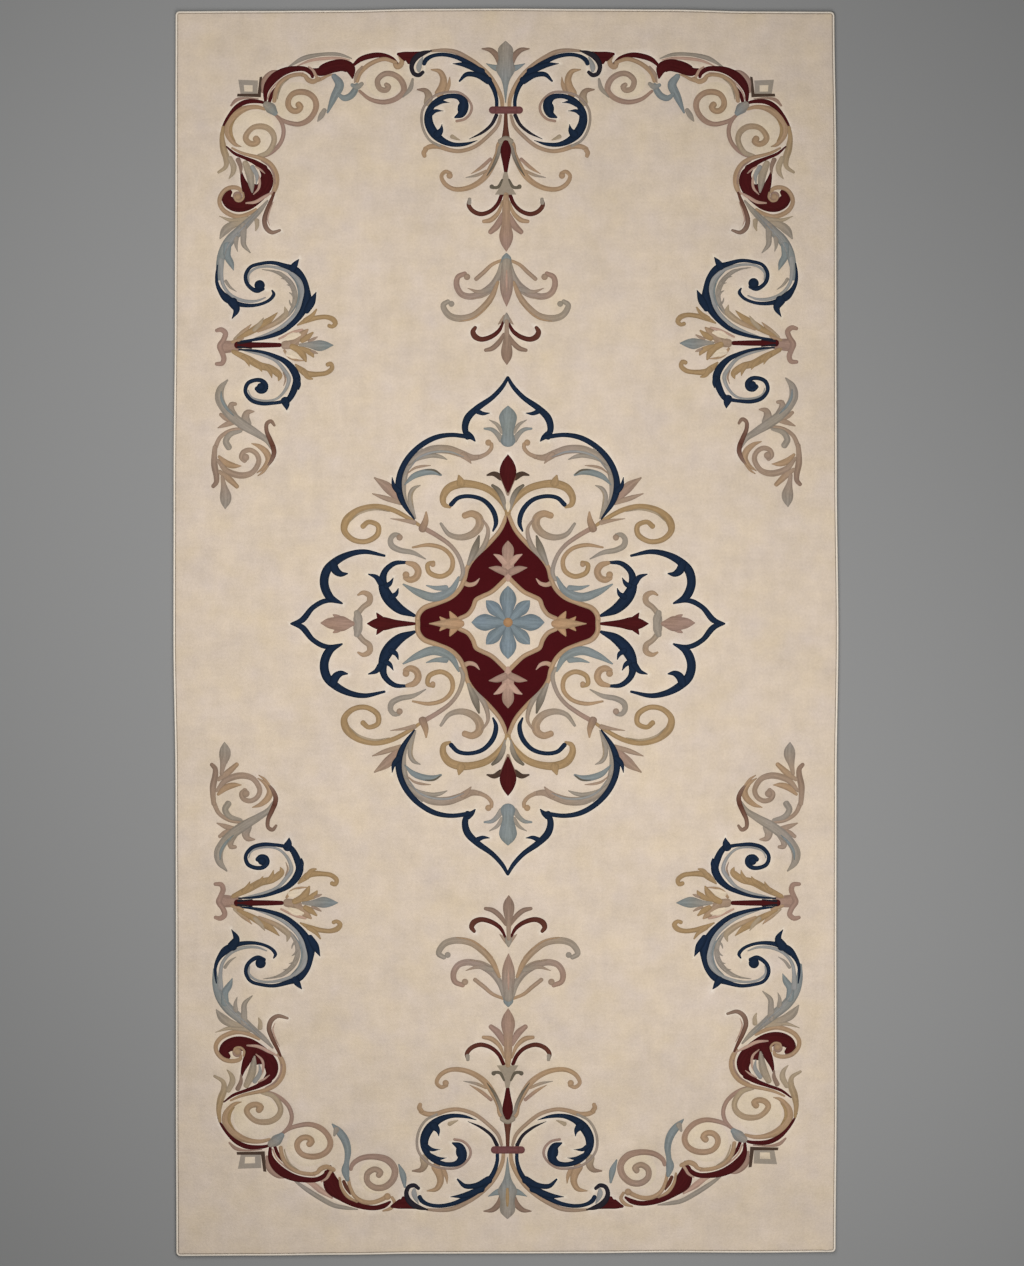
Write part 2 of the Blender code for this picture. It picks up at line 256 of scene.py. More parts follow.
# Top left corner.
CORNER = [
    Stroke("cream", "297,103", "42"),
    Stroke("cream", "253,132.5", "44"),
    Stroke("cream", "235,197", "14"),
    Field("grey", "238.2,79.6 258,80.4 257.4,94.6 240.6,94.4"),
    Field("cream", "243.8,85 252.6,85.2 252.6,91.6 244.4,91.4"),
    Field("umber", "259.6,77 262.2,76.4 260.8,97.2 237,96.4 237.4,93.6 257.6,93.6"),
    Stroke("mauve", "262.5,92 264.8,80 272,72.5 279,70.5", "2.5 6 4.6 1"),
    Stroke("wine", "265.5,103 265.5,92.5 268.5,84.5 275.5,76.5 285.5,70.8 296,68.6 305,69 311.5,73 312.5,77", "2.5 5 8 9 7.4 5.6 5 5 3"),
    Stroke("pink", "267.5,99 271,90 278,82 285.5,76.8 294,73.6 303,72.8", "1.6"),
    Stroke("wine", "269.4,101.4 272.4,93 279,83", "3.4 3.4 0.6"),
    Stroke("pink>tan", "308,66.5 312.8,70 315.5,75 318.5,80", "1.5 2.6 3 3"),
    Stroke("tan", "319,78.5 313,81.5 307.7,79.3 305,75.7 299.6,74.4", "4 5 5 4 3.4"),
    Stroke(
        "tan",
        "301,74.4 292.5,75.3 285.4,78.4 279,84.6 275.5,92.7 274.2,101",
        "3.4 4 4.2 4.4 4.4 4",
    ),
    Stroke("olive", "289,77 281.5,83 277.5,91.5 275.8,99", "0.6 1.6 1.6 1", -1.4),
    Stroke(
        "mauve>tan",
        "274.6,114 281,119.5 290,123 299,124 307.7,120.4 314,113 316.2,105 314,98 307.7,93 299.6,91.8 292.5,94 "
        "288.5,99.8 288.5,106 292.5,110.5 297.6,110.6 300.4,106.8 298.4,104.4",
        "3 4 4.6 5 5.6 5.6 6 6 6 6 5.6 5.6 6 6 6 6.6 6.6",
    ),
    Stroke("tan", "264.8,109 257.7,107 249.6,107.4 240.7,110.5 232.7,117 228.3,125.7 228.3,134 232,141 236.3,145 241.5,146.5", "3 4 5 7 8 8 7 5 3.4 0.6"),
    Stroke("gold", "235,119 231,127 231.5,135 235.5,141.5", "1 3 3 0.6"),
    Stroke(
        "wine",
        "221,131 224.6,123 230,114 237,106.5 246,101.8 255,101.2 263,102.5 266,105",
        "1 2.6 3.2 4.6 5 4 3 2",
    ),
    Stroke("mauve", "231,105.5 236.3,100 245.2,98 258.6,98.9", "2 3.6 2 1"),
    Stroke("gold>olive", "223,127 222,138 223.8,149.8 226.4,158.8 225.5,166.8 218.4,172.3", "3 5 7 6.4 4.4 2.6"),
    Stroke("mauve", "276.4,115.9 281.8,123 283.6,132 281,141.8 274.6,149.8 265.7,155.2 257.5,157", "2.4 4 4.2 4.2 4.2 4 2"),
    Stroke(
        "olive>tan",
        "258.6,156 267.5,152.5 273,144.5 274.2,138.2 272,132 266.6,127.5 260.4,126.2 253.2,127.5 247.4,133 "
        "245.6,138.2 248.8,142.7 254,143.8 257.6,141.2 255.8,138.4",
        "4 5 5.6 5.6 6 6 6 5.4 5.6 6 6 6 6.4 6.6",
    ),
    Stroke("tan", "232,148 240.7,152.5 249.6,155.2 260.4,158 269.3,163.2 274.6,171.3 276.4,179.3 275.5,187 272.5,194", "2 3 3.4 4.2 5 6 6 5.4 4"),
    Stroke("mauve", "262,159 270.5,165 275.5,174 277,184", "1 1.8 1.8 1", 1.8),
    Stroke("wine", "226.4,146.5 234.5,153.4 245.2,158 255,162.3 264,168.6", "1.6 3 3.5 5 8"),
    Stroke(
        "wine",
        "261,167 266,174 266.4,182 262.4,190 255.4,197.6 246,203.6 236,204.8 228.6,201.4 226.6,195.6 229.6,192",
        "6 11 14 14.5 14 14.5 14 12 10 6",
    ),
    Stroke("wine", "249.6,199 245.2,186.4 242.5,178.4 240.7,169.5", "10 8 4.6 1"),
    Stroke("wine", "258,190 252,186 249,178", "12 7 2"),
    Stroke("pink", "253.2,194.5 258.6,188.2 259.5,179.3 256.8,171.3", "1 2.5 2.2 1"),
    Stroke("pink", "246,203 255,202 264,197 274,191", "1.6 3.2 3.2 1"),
    Stroke("pink", "255,166 260.4,169.5 265,173.5", "1 2 0.8"),
    Stroke("tan", "240.5,193 240,189.5 234.5,187.3 226.4,189 220.8,195.4 219.5,202.5 223,209.6 231,214.8 239,216.6 247,214.4 256,209.5", "3 4 4.4 4.4 4.4 4.4 4.6 4.8 4.8 4.2 3"),
    Stroke("mauve", "237.4,196", "9.4"),
    Stroke("tan", "237.8,196.6", "6.4"),
    Stroke("tan", "243,192.6 243.4,197.4 240,201 235.6,200 234.6,196.6", "2 2.4 2.4 2.2 1.6"),
    Stroke("olive", "230,158 233.6,166.8 232.7,173 228.7,178.8", "5 6 4.4 0.8"),
    Stroke("brown", "238,159.6 240.7,166.8 240.7,174", "5 4 1.5"),
    Stroke("olive>grey", "245.2,163 249.6,174 251.4,184.6 252.3,192.7", "6 8 6 1.5"),
    Stroke("pale", "252.3,166.8 256.8,175.7 256,184.6", "4.6 4 0.8"),
    Stroke("rust>brown", "274.2,192.7 270.2,202.5 266.6,211.4 264.4,220.4 266.6,228.4 272,232.4 280,230.2", "2.4 4 4.6 5 5 4.2 2.6"),
    Stroke("pink", "271.8,201 268,210.5 266,219.5 268,226", "0.8 1.4 1.4 0.6", -1.6),
    Stroke("olive", "248,218.6 232,220.4 219,216", "5 4.2 0.5"),
    Stroke("olive>grey", "242.5,222 231,225.7 224.6,231 219.7,239", "3 8 8 1"),
    Stroke(
        "grey>blue",
        "267.5,200.7 260.4,209.6 249.6,220.4 240.7,229.3 230,240 223,251.6 219.5,265 218.6,279",
        "2 5 7 9 10 9 7 3.6",
    ),
    Stroke("grey", "243.4,225.7 243.4,236.4 243.8,244.5 250.5,253", "7 6 5 1"),
    Stroke("grey", "236.3,238 236,245 237.6,251.6", "5 3.5 0.5"),
    Stroke("blue", "227.3,245.4 227.3,256 231,263.2 233.6,270.4", "8 7 6 0.5"),
    Stroke("olive", "256.8,220.4 257,226 255.4,231", "5 4 1"),
    Stroke("pale", "258,211 247,223.5 236,235 228,246 224,258", "0.8 1.4 1.6 1.6 0.6"),
    Stroke("grey>blue", "266,104.5 270.5,108 275,113", "7 11 6"),
]

# What ties the upper corners to the scroll beside them: the broad burgundy band, its blue leaf and outer arcs.
TOP_TIES = [
    Stroke("grey", "289,66.5 303,58.4 321,54.4 339,54.4 352,58.5", "1.6 4.6 3.6 3.4 1.2"),
    Stroke("pink", "297,66 310,60.6 325,58.4 340,58.2 350,60", "1 2.8 3.2 2.6 1"),
    Stroke("wine", "313.5,69.5 319,71.5 326,68.8 334,66.2 343,65.2 350,68.5 352.6,78", "3 9 12 12.5 12 11 2"),
    Stroke("tan", "316,80.6 321,79 327,76 333.5,74", "4 3.6 2.6 1"),
    Stroke("blue", "334,76 339.5,84.5 334,97 327.5,112.5", "5.6 9 7.4 2"),
    Stroke("grey", "324.5,110 321,116 317.5,121.5", "4.6 5.4 1"),
    Stroke("blue", "338,94 344,98 350.6,95.8 355,90 357,84.6", "3 6 6.8 6.4 4"),
    Stroke("blue>grey", "352,84.8 357,87 362,83.6", "3.6 5.6 4"),
]

# The same between the lower left corner and the middle, where the hand drew it steeper and closer.
BOTTOM_TIES = [
    Stroke("cream", "377,1176", "36"),
    Stroke("pink", "298,1178.5 310,1182.5 320,1190 332,1198", "1.5 5 6 2"),
    Stroke("grey", "290,1177 303,1187 320,1198 334,1205.5 345,1207.8 358,1209.6", "1 4 5 4.6 4 1"),
    Stroke("wine", "330.5,1166 329.5,1175 332.5,1186 343,1197 358,1205.3 374,1208 384.5,1205.6 390,1202", "2 11 17 10 6 5 5 2.6"),
    Stroke("tan", "339.5,1178 341.5,1187.5 347.5,1196.5 357,1202", "2.4 3 3.4 2"),
    Stroke("tan", "348,1177 350,1187 354.5,1196 362,1201.4 372,1202.6 382,1199.4 388,1195.6", "3 3.6 4 4.6 4.6 4.6 5"),
    Stroke("rust", "343.6,1181.5 346.6,1188 350.6,1195", "3.6 4 1"),
    Stroke("tan", "392,1197.5 394.6,1203 390.5,1208.5 383,1211", "3 3.6 3.6 1.6"),
    Stroke("tan", "387.4,1196.6", "7"),
    Stroke(
        "mauve>taupe",
        "350.8,1169.5 352.4,1164.6 360.7,1158.6 374.7,1156.8 388,1160.5 394.8,1169.6 393,1179.5 384.7,1187 "
        "374.7,1187.6 367.4,1181.8 367.6,1173.7 374.7,1169.4 380.6,1172.6 378.6,1175.4",
        "3.6 4.6 5.4 6 7 6.8 6.8 6.6 6.4 6 6 6 6 6",
    ),
    Stroke("blue", "331.8,1123.8 338.3,1130.8 344.9,1140 347.8,1151 346.6,1163 345.4,1170.5 347.4,1180", "1 7 8 6.8 5.4 8 4"),
    Stroke("grey", "336.5,1129.5 334.2,1135.5", "6 2.4"),
    Stroke("blue", "398.8,1164.6 403,1175.4 404.8,1187", "1.6 6.4 2.4"),
]

# The small mauve scroll between the corner and the middle, with the burgundy crescents of the border.
LINK_SCROLL = [
    Stroke("cream", "384,80", "36"),
    Stroke("wine", "352.5,66 360,59.5 370,56 381,55 392,58.5 398,63.5", "2.6 5 5.6 5 4 2"),
    Stroke("tan", "399.5,56 402,60.5 400.5,65 397,66.5 394.5,63", "3 4.6 5.5 6 4"),
    Stroke("tan", "396,62.5 384,59 370,64 360,73 357,81", "3.4 4.2 4.6 4.6 4"),
    Stroke("taupe", "362,66.5 356.5,74.5 354.5,83", "2 3.6 1"),
    Stroke("mauve>taupe", "359.5,91 370,99 384,102 397,98 404,90 401,80 392.5,74 384,74 377.5,80.5 380,88.6 386,90 388.5,86.5 386,84.5", "3 4 5 5.4 6 6 5.6 5.6 5.6 5.6 5.6 5.6 4.5"),
    Stroke("grey", "412.6,79 410.5,88 402.5,97.5", "2.4 4.6 1"),
]

# The S-scroll on the left, above the side motif.
S_SCROLL = [
    Stroke("pale", "221.3,260.5 221.3,274.6 223.4,285.4 231,295.2 243,300.6 256,301 265.7,297.3", "6 4 3.4 3.4 3.4 2.5 1"),
    Stroke("grey", "225.6,281 230,287 236.4,291.6", "3.4 2.6 0.5"),
    Stroke("pale", "248.4,282.2 248.4,274.6 255,268.6 265.7,266.4 278.7,268 290.6,272.4 299.3,281 302.6,292 300.4,305 295,314.7 283,325.5 270,333 253.8,338.5", "2.4 2.6 2.4 2.4 3.2 4.4 6 7.6 7 5 3.4 3 1"),
    Stroke("grey", "262,269.4 274,271.4 284,276.4 291.5,284.5 295,295 293.5,306 288.5,314.5 280,321.5", "0.6 2.4 4.2 5.2 5.2 4.6 3.4 0.8"),
    Stroke("grey", "285,276.5 279,272.6 272,271", "3.6 3 0.6"),
    Stroke("grey", "290.5,283.5 286,279.6 281,278.4", "2.6 1.8 0.6"),
    Stroke("grey", "293.5,290 290.4,286 286.6,284.6", "2.6 1.8 0.6"),
    Stroke("grey", "294.5,298 291.6,294 289,292.4", "2.6 1.8 0.6"),
    Stroke("grey", "292.5,306.5 290,303 289.2,299.6", "2.6 1.8 0.6"),
    Stroke("blue", "288,273 295.6,281.6 298.8,292.5 297,304 291,313", "0.6 1.6 2 1.6 0.6"),
    Stroke("navy", "217.5,264.8 216.4,274.6 217,283.2 220.2,290.8 226.7,298.4 237.5,303.8 250.5,305.5 261.4,303.8 270,299.5 273.8,294 272,290.3", "1.2 2.6 3.6 5 8 5.2 3.8 3.2 3.4 3.6 1.6"),
    Stroke("navy", "232.5,302 236.4,309.6 231.8,319", "10 7 0.5"),
    Stroke(
        "navy",
        "263,288.6 257,290.8 251,288 246.4,282.2 245.7,274.6 250.5,267 260.3,263.7 272.2,262.6 285.2,265.9 296,270.2 303.7,279 "
        "307,289.7 307,300.6 302.6,311.4 294,322.3 281,332 265.7,337.4 250.5,340.2 238.6,341.4",
        "4 4.6 4.2 4 3.8 3.6 3.6 3.8 5 7 5.4 5.8 9 7.2 5.6 5 3.8 2.8 1.4",
    ),
    Stroke("navy", "259.6,285.2", "10.6"),
    Stroke("navy", "292.5,268.6 295.6,263.6 299,259", "8 5.4 0.6"),
    Stroke("navy", "306.5,311 311.6,302 316.3,291.8", "6 7.6 0.6"),
    Stroke("olive>tan", "235,339.4 243,332.8 251.4,324", "4 5.6 0.6"),
    Stroke("gold", "238,338.4 249.8,332 261,325.4 269.4,320 277.6,312.4", "3 6 7.6 6 0.8"),
    Stroke("olive", "254,330 260.4,323 263.7,317.5", "4 4 0.5"),
    Stroke("tan>olive", "258,331.4 272,324.8 280.6,319.2 286,313.6 284.6,306.6", "2.4 5 6.4 5.6 0.8"),
]

# The motif at the middle of the left side.
SIDE_MOTIF = [
    Stroke("mauve", "223,347 230,346.6 238.5,346.2", "13 12 9.6"),
    Stroke("mauve", "216.5,330.5 221.3,329.6 225.4,333.2 223.6,339.6 219.8,346.1 221.3,351 223.9,358.5 222,363.3 216.3,363.9", "3.6 5 5.4 5.4 6 5.4 5.4 5 3.6"),
    Stroke("tan", "232,342 237,340.5 243,338.5", "3 3.6 2"),
    Stroke("tan", "232,351 237,352.5 243,355.5", "3 3.6 2"),
    Stroke("pink", "279,338.8 287,334.8 295,331.6 302.3,330", "2 2.6 3 3"),
    Stroke("taupe", "284.4,345.2 289.5,344.4 296,343", "8.4 9 7"),
    Stroke("taupe>tan", "293,343 299,338 303.5,333.5 307.7,329.6", "6 7 7 2"),
    Stroke("gold", "302,340.5 307,337.5 312.8,332.6", "5 6 2"),
    Stroke("taupe", "309,341 313.8,338.8 317.6,336.6", "3 3 1"),
    Stroke("gold", "292,346.5 298,349.5 303,355 306.2,362", "6 7 7 1.5"),
    Stroke("gold", "300,347.5 306,350 311,353 313.4,357", "3 5 6 1.6"),
    Stroke("taupe", "311,350.6 314.5,352.2 318,353.6", "2 3 0.8"),
    Stroke("tan", "284.3,350.5 289,356.8 296.3,360 304.2,360.6", "2.6 3 2.4 1"),
    Stroke("cream", "287.5,338.2 293.5,335.8 300,334.6", "5 7 2.4"),
    Stroke("cream", "287.5,354 293.5,355 299.5,357.6", "4.6 7.5 2.4"),
    Stroke("grey>blue", "300,344.9 308,344.8 319.5,345.6 326,345.3 333.5,345.1", "3 5.5 11 8 0.5"),
    Stroke("gold", "297.5,325 307,320.2 317.4,317.6 326.5,317 333,319.4 335.4,323.5 332,326.6 329,325.6", "1.6 5.4 4.8 4.8 5.4 5 4 4"),
    Stroke("gold", "305,320.5 312.5,315 316.8,308.8", "5 4 1.4"),
    Stroke("gold", "295,364 301,369.6 306.5,373.6 319.8,374 327,372.6 332,368 330.7,363.6 327.5,364.6", "1.4 6 6.6 4.8 4.8 4.8 4.4 4.4"),
    Stroke("gold", "303.5,371 308,377.5 313,379", "6 4 1.4"),
    Stroke("gold", "233.7,351.8 247.5,358.7 260,365.6 271,368.6 279.6,376 278.3,381", "4.6 7 7.4 7 6 0.6"),
    Stroke("gold", "243,356.5 247.5,361.5 249.4,366.5", "4 4 0.5"),
    Stroke("gold", "254,362 259.5,367 262,371.8", "4 4.4 0.5"),
    Stroke("gold", "266,366.5 270.5,372.5 271.8,378", "4 4 0.5"),
    Stroke("pale", "239.4,349.2 251,352 264.7,355.5 276.2,361 284.2,370.2 288.8,378.2 285.4,389.7 276.2,398.9 262.4,400.6 251,396.6 248,389.7", "1.6 2.2 3.2 3.4 4.2 4.2 3.2 2.4 2.2 1.8 1"),
    Stroke("taupe", "283,372 285.5,379 283.5,386", "1 2 0.6"),
    Stroke("navy", "238.3,349.6 251,350.3 262.4,352 274,355.8 285.4,361.6 293.4,370.2 296.8,379.4 294.5,388.5 290,397.7 284.2,403.5", "1.4 2.6 3.2 4.2 5.8 7.6 8 7.2 6.2 5.4"),
    Stroke("navy", "285,400.5 286.4,405.4 286.8,410.4", "9 6.4 0.6"),
    Stroke(
        "navy",
        "284.2,401.4 274,403 261.3,403.5 251,400 245.4,391.6 247.6,383.6 254.6,380.2 261.6,380.6 265.6,385 264.4,389.8 "
        "260,390.8 256.8,388.4",
        "4 3.6 4 4 4 4.2 4.2 4.6 5.4 6 6 5",
    ),
    Stroke("navy", "260.8,386.8", "8"),
    Stroke("navy", "297.5,380 299,385 298.6,390", "6 4 0.8"),
    Stroke("wine", "237.1,345 250,345 265,345 279.8,345", "7 6 5.4 4.4"),
    Stroke("night", "238.2,343 244,342.6 252,341.6", "2.6 1.8 1"),
    Stroke("night", "238.2,347 244,347.4 252,348.4", "2.6 1.8 1"),
]

# The grey leaf and the small scroll below the side motif.
LEAF_SCROLL = [
    Stroke("taupe", "256.7,431.4 243,429 230.3,430.6 220,437.6 215,448.2", "3 3.4 3.8 4.2 4.8"),
    Stroke("taupe>brown", "215,447 214.2,456.3 214.4,465.5 216.4,475.8 216.2,482.4 213,486.4", "4.8 5.6 6.6 6 5 4"),
    Stroke("tan", "219,456.6 226.6,463.4 234,465.8 241.6,466", "3 6.6 5.4 0.6"),
    Stroke(
        "taupe",
        "217.6,460 225,469.4 233.6,474 243,475.4 251.6,472.8 256.6,467 258.8,460 256,453.4 249.6,450 243.2,452.2 "
        "241.4,457.4 244.8,460.6",
        "3 5.6 6.6 6.4 5.6 5.4 5.2 5 5 5 5 5",
    ),
    Stroke("taupe", "245.6,457.4", "7.4"),
    Stroke("tan", "251.4,443.4 259.4,446.4 266.6,453 268.6,460 264.6,467 256.6,473", "0.8 4.6 6.6 6.6 4.6 0.8"),
    Stroke("taupe>tan", "219.5,471.5 228.4,478.4 237,486.6", "4 6.4 4.4"),
    Stroke("taupe>grey", "222.2,477 223.8,486 225.6,496.5 225.4,503 225.1,509", "3.6 6 11.6 9 0.5"),
    Stroke("taupe", "234,421.6 225.7,424.6 217.6,428", "6 5 1"),
    Stroke("taupe", "232,419.4 226,418.4 220.6,414.4", "5 5 3.6"),
    Stroke("grey", "241,431 230,434.6 225.8,441.4 228.8,447.4", "3 5.4 6.4 6.6"),
    Stroke("grey>taupe", "235,418 231,409 231.4,404.4 235.6,404", "8 6.4 5.4 3.4"),
    Stroke("grey>taupe", "247,424 245.4,417 247.6,412.4 254.4,411.4", "9 8 6 1.2"),
    Stroke(
        "grey",
        "227.4,380 220.8,388.4 219.4,398 223.6,407.6 232,416.4 243.6,425.2 256.7,433.3 267,440.6 272.4,448.6",
        "1.6 7 9 8.4 9.6 9.6 7.4 5.4 4",
    ),
    Stroke("blue", "221,391 221.6,399 226.4,408 234,416", "0.8 2.6 2.6 0.8"),
    Stroke("brown>rust", "274.4,425.4 271,421.2 266.8,423.6 266.6,431 270,439.4 273.2,447", "2.6 4 4 4.2 4.8 5.2"),
    Stroke("rust>brown", "273.2,447 274,453 271.6,460 267.4,466.4", "5.2 5 4 2"),
    Stroke("tan", "268,466 263,472 257.5,476", "2 2.6 0.8"),
]

# A quarter of the medallion: its upper left.
MEDALLION = [
    Field(
        "claret",
        "509,513 500,530.2 487.6,544.6 474.6,557 467.4,567.6 464.4,579 459.6,589 451,597.2 436.6,603.2 423.4,608.4 "
        "418.4,615.6 417.6,626.5 459,626.5 459.6,618.6 468,614.4 473,607.6 476,600 482,596.6 491.5,592 500,584.6 509,576",
    ),
    Stroke("tan", "507.5,577 500,584.6 491.5,592 482,596.6 476,600 473,607.6 468,614.4 459.6,618.6", "4.4"),
    Stroke("tan>pink", "463.5,582.5 469,584.8 475,583.4 479.6,578.4", "5 4.4 3.6 0.8"),
    Stroke(
        "tan",
        "507.2,514.3 500,530.2 487.6,544.6 474.6,557 467.4,567.6 464.4,579 459.6,589 451,597.2 436.6,603.2 423.4,608.4 "
        "418,615.6 417.6,625.5",
        "4 4.2 4.4 4.4 4.6 4.6 4.6 4.6 5 5.2 5.2 5",
    ),
    Stroke("straw", "456,622 452.6,616.6 449.6,611.2", "9 6.4 1"),
    Stroke("straw", "447,622 442.4,619.4 439.6,616.6", "5 4 1"),
    Stroke("straw>tan", "461.5,623.7 455,623.7 448,623.7 440,623.7 429,623.7", "7 11 9.6 6 0.8"),
    Stroke("grey", "426,559.2 412.7,552.6 399.4,550 391.6,545.4 390.6,539 394.4,534.8 399,535.4", "1 4.6 5.6 6 5.4 5 4.6"),
    Stroke("taupe", "399.6,537.4", "6.4"),
    Stroke(
        "tan>gold",
        "412.7,547.4 429.3,545 444.2,549.2 452.3,559 450.8,570.6 441,576.4 429.3,572.3 427.8,564.4 433.4,562.8",
        "2 4 4.2 4.6 5 5 5 4.6 4.6",
    ),
    Stroke("tan", "432.8,564.4", "5.4"),
    Stroke("navy", "407,562.4 394.4,563.4 384.5,572.3 383,585.6 388,597.2 399.4,608.8 414.3,615.6", "3 5 6.4 9.4 12 10 3.4"),
    Stroke("navy", "381,583 376,577 367.9,574", "7 5 1"),
    Stroke("navy", "386,586 390,583.5 393.5,577.5", "6 4.6 0.6"),
    Stroke("navy", "391,597 396,594 398.5,588", "6 4.6 0.6"),
    Stroke("tan", "407,562.8 414.5,565.2 418.2,571 416,577.4 410,579.8 405.6,577.4", "4 6.4 7 7 6.4 6"),
    Stroke("tan", "406,574.8", "7"),
    Stroke("blue", "459,577.5 451,590.5 434.2,597.2 417.6,592.2 402.7,584", "3 7 9 7 1.4"),
    Stroke("blue", "446,588 436,588 426,585.4", "6 4.4 1"),
    Stroke("mauve>taupe", "399.4,501 388,487.7 374.5,477.8", "4 10 1.6"),
    Stroke("taupe", "401,503 385,498 372,493.5", "4.4 5 1"),
    Stroke(
        "gold",
        "422.6,527.5 407.7,517.6 391,509.3 374.5,506.4 356.5,511 346,521 344.4,530.8 353,539.6 366.2,541.4 "
        "377.5,534.4 377.9,525.6 368.5,522 362.8,526.4",
        "3 4.2 5 5.4 6.2 8 6.4 5.4 5.2 5.6 5.2 4.8 5.4",
    ),
    Stroke("olive", "390,510.5 374.5,508.3 358.5,512.6 348.5,521.5", "0.6 1.8 2 0.6", -1.2),
    Stroke("taupe", "414.3,522.5 404.4,520.5 390.3,518.6", "5 3.4 0.6"),
    Stroke("mauve>grey", "422.6,527.5 437.5,536 451,546 459.1,557.4 463,572.3 460,580", "5 4.6 4.2 4.2 4.4 3"),
    Stroke("brown>tan", "422.4,529 425.6,520.5 426.2,511.4", "8 6 1.4"),
    Stroke("grey", "422.6,448.5 410,462 403.8,482.8 404.6,499.3 416,519.2", "1 4.4 5.4 5 1"),
    Stroke(
        "grey>taupe",
        "404.4,475 413,460.6 429,450.6 447,449.4 461,453.6 472,457.6 481,456.6",
        "1 5.4 8.2 8.6 7.6 6.4 4.4",
    ),
    Stroke("taupe>tan", "480,456.8 487,453.4 491.4,448 491.4,443.8", "4.4 4 4 3.8"),
    Stroke("tan", "488.4,442.6", "6.4"),
    Stroke("taupe", "463,455 467.4,458.6 471.4,463.6", "7 5 0.8"),
    Stroke("grey", "408,466 418,459.4 432.4,455.6 440,456.6 447.4,459.6", "0.8 2.8 4.2 3.8 0.8"),
    Stroke("taupe", "406.4,474.6 414,468.4 422,466.2 431,465.4", "0.6 2.4 2.6 0.6"),
    Stroke("blue", "404.4,485 413,476.6 424.3,472.4 434,472 441,475", "1 5.4 6.4 5.6 2.2"),
    Stroke("slate", "425,469.8 434,470.2 440.6,474.4", "0.6 1.8 1"),
    Stroke("grey", "415.6,518 411,504.6 410.4,494.6 413.8,488.4 420.6,485.2", "1.4 5 5 4 0.8"),
    Stroke("olive", "413.6,508 412,500 412.6,493 416,488.6", "0.6 1.4 1.4 0.6"),
    Stroke("pale", "409,470 418,458.5 432,452.4 450,452 464,457", "0.6 1.8 2.2 2 0.6"),
    Stroke("navy", "507.8,377.5 502.4,386.6 492.3,397.4 477.3,408.1 467.6,418 465,428 467.6,437.5", "3.2 4.4 5 6.4 7.4 6.6 5.4"),
    Stroke("navy", "476.5,411 483,413.5 490,413", "5.4 4 0.6"),
    Stroke("navy", "468,434 472,437.5 475.5,441.5", "6 5 1"),
    Stroke(
        "navy",
        "471,437.2 450.8,434.9 434.2,438 417.6,448 406,461.2 399.6,476 398.8,489.4 403,502.6 414.3,519.2",
        "4.6 4.6 5.4 5.6 6 6.2 6.8 5.4 1.6",
    ),
    Stroke("navy", "399,491.5 394,486 392,477", "6.4 4.6 0.6"),
    Stroke("gold", "508.5,513.5 502.4,502.6 489,489.8 474,484.6 459.6,484 448.4,488.4 443,497.4 444.2,504.6 450,507", "5 5.6 7 7.4 8.4 8.2 6.8 5.2 3"),
    Stroke("gold", "461,483 460,479.4 458.8,475.6", "9 6.4 2"),
    Stroke("grey>slate", "505.4,508.6 502.4,497.4 498,490 492.4,485.4", "3 5.2 5 3"),
    Stroke("navy", "451,504.6 458,498 469.7,496.2 483.4,500.2 493.2,511 496,523 493,531", "4.8 4.4 4.2 4.6 5.2 4.6 2"),
    Stroke("tan>grey", "464.5,515.6 472,513.6 478.6,517.4 479.6,525.4 473,533.6 461,537.4 449,534.2 440.8,523.6", "6.4 7 8 8.6 7.6 6.2 4.8 2.8"),
    Stroke("taupe>grey", "482.3,519.2 488,529.2 484,545.8 472.4,559", "2 3.6 5.2 4"),
    Stroke("slate>grey", "479,536 475.4,548 468.4,564", "2 7.4 3.6"),
]

# On the upright axis of the medallion, its upper half.
MEDALLION_AXIS = [
    Stroke("grey", "502,432 497,424.5 489,419.7", "4 3.6 0.6"),
    Stroke("grey", "514,432 519,424.5 527,419.7", "4 3.6 0.6"),
    Stroke("grey>blue", "501.6,440 497,433.6 491.6,429.4 484.4,428.6", "6 5 4 2"),
    Stroke("grey>blue", "514.4,440 519,433.6 524.4,429.4 531.6,428.6", "6 5 4 2"),
    Stroke("blue", "508,405.6 508,410.4 508,416.4 508,424 508,432 508,440.6", "0.5 11.6 17.8 15.4 11 15"),
    Stroke("umber", "501,477.5 494,473.8 486.5,475.3", "6.4 5 1.4"),
    Stroke("umber", "515,477.5 522,473.8 529.5,475.3", "6.4 5 1.4"),
    Stroke("taupe>rust", "508,494.5 508,486 508,477", "3 9 17"),
    Stroke("wine", "508,454.4 508,461 508,471 508,480 508,487 508,493", "0.5 10.5 17 12 7 1"),
    Stroke("cream", "508,500 508,506 508,511", "2 4.6 2"),
    Stroke("pink>mauve", "508,580 508,573 508,566 508,559 508,551 508,546 508,540.6", "4 9 12 10 12 9.6 0.5"),
    Stroke("pink", "505,563 499.5,557.4 493.6,554.2", "6.4 5.4 0.8"),
    Stroke("pink", "511,563 516.5,557.4 522.4,554.2", "6.4 5.4 0.8"),
    Stroke("mauve", "505,572 497,569 488.8,567.6", "7.4 6.4 0.8"),
    Stroke("mauve", "511,572 519,569 527.2,567.6", "7.4 6.4 0.8"),
]

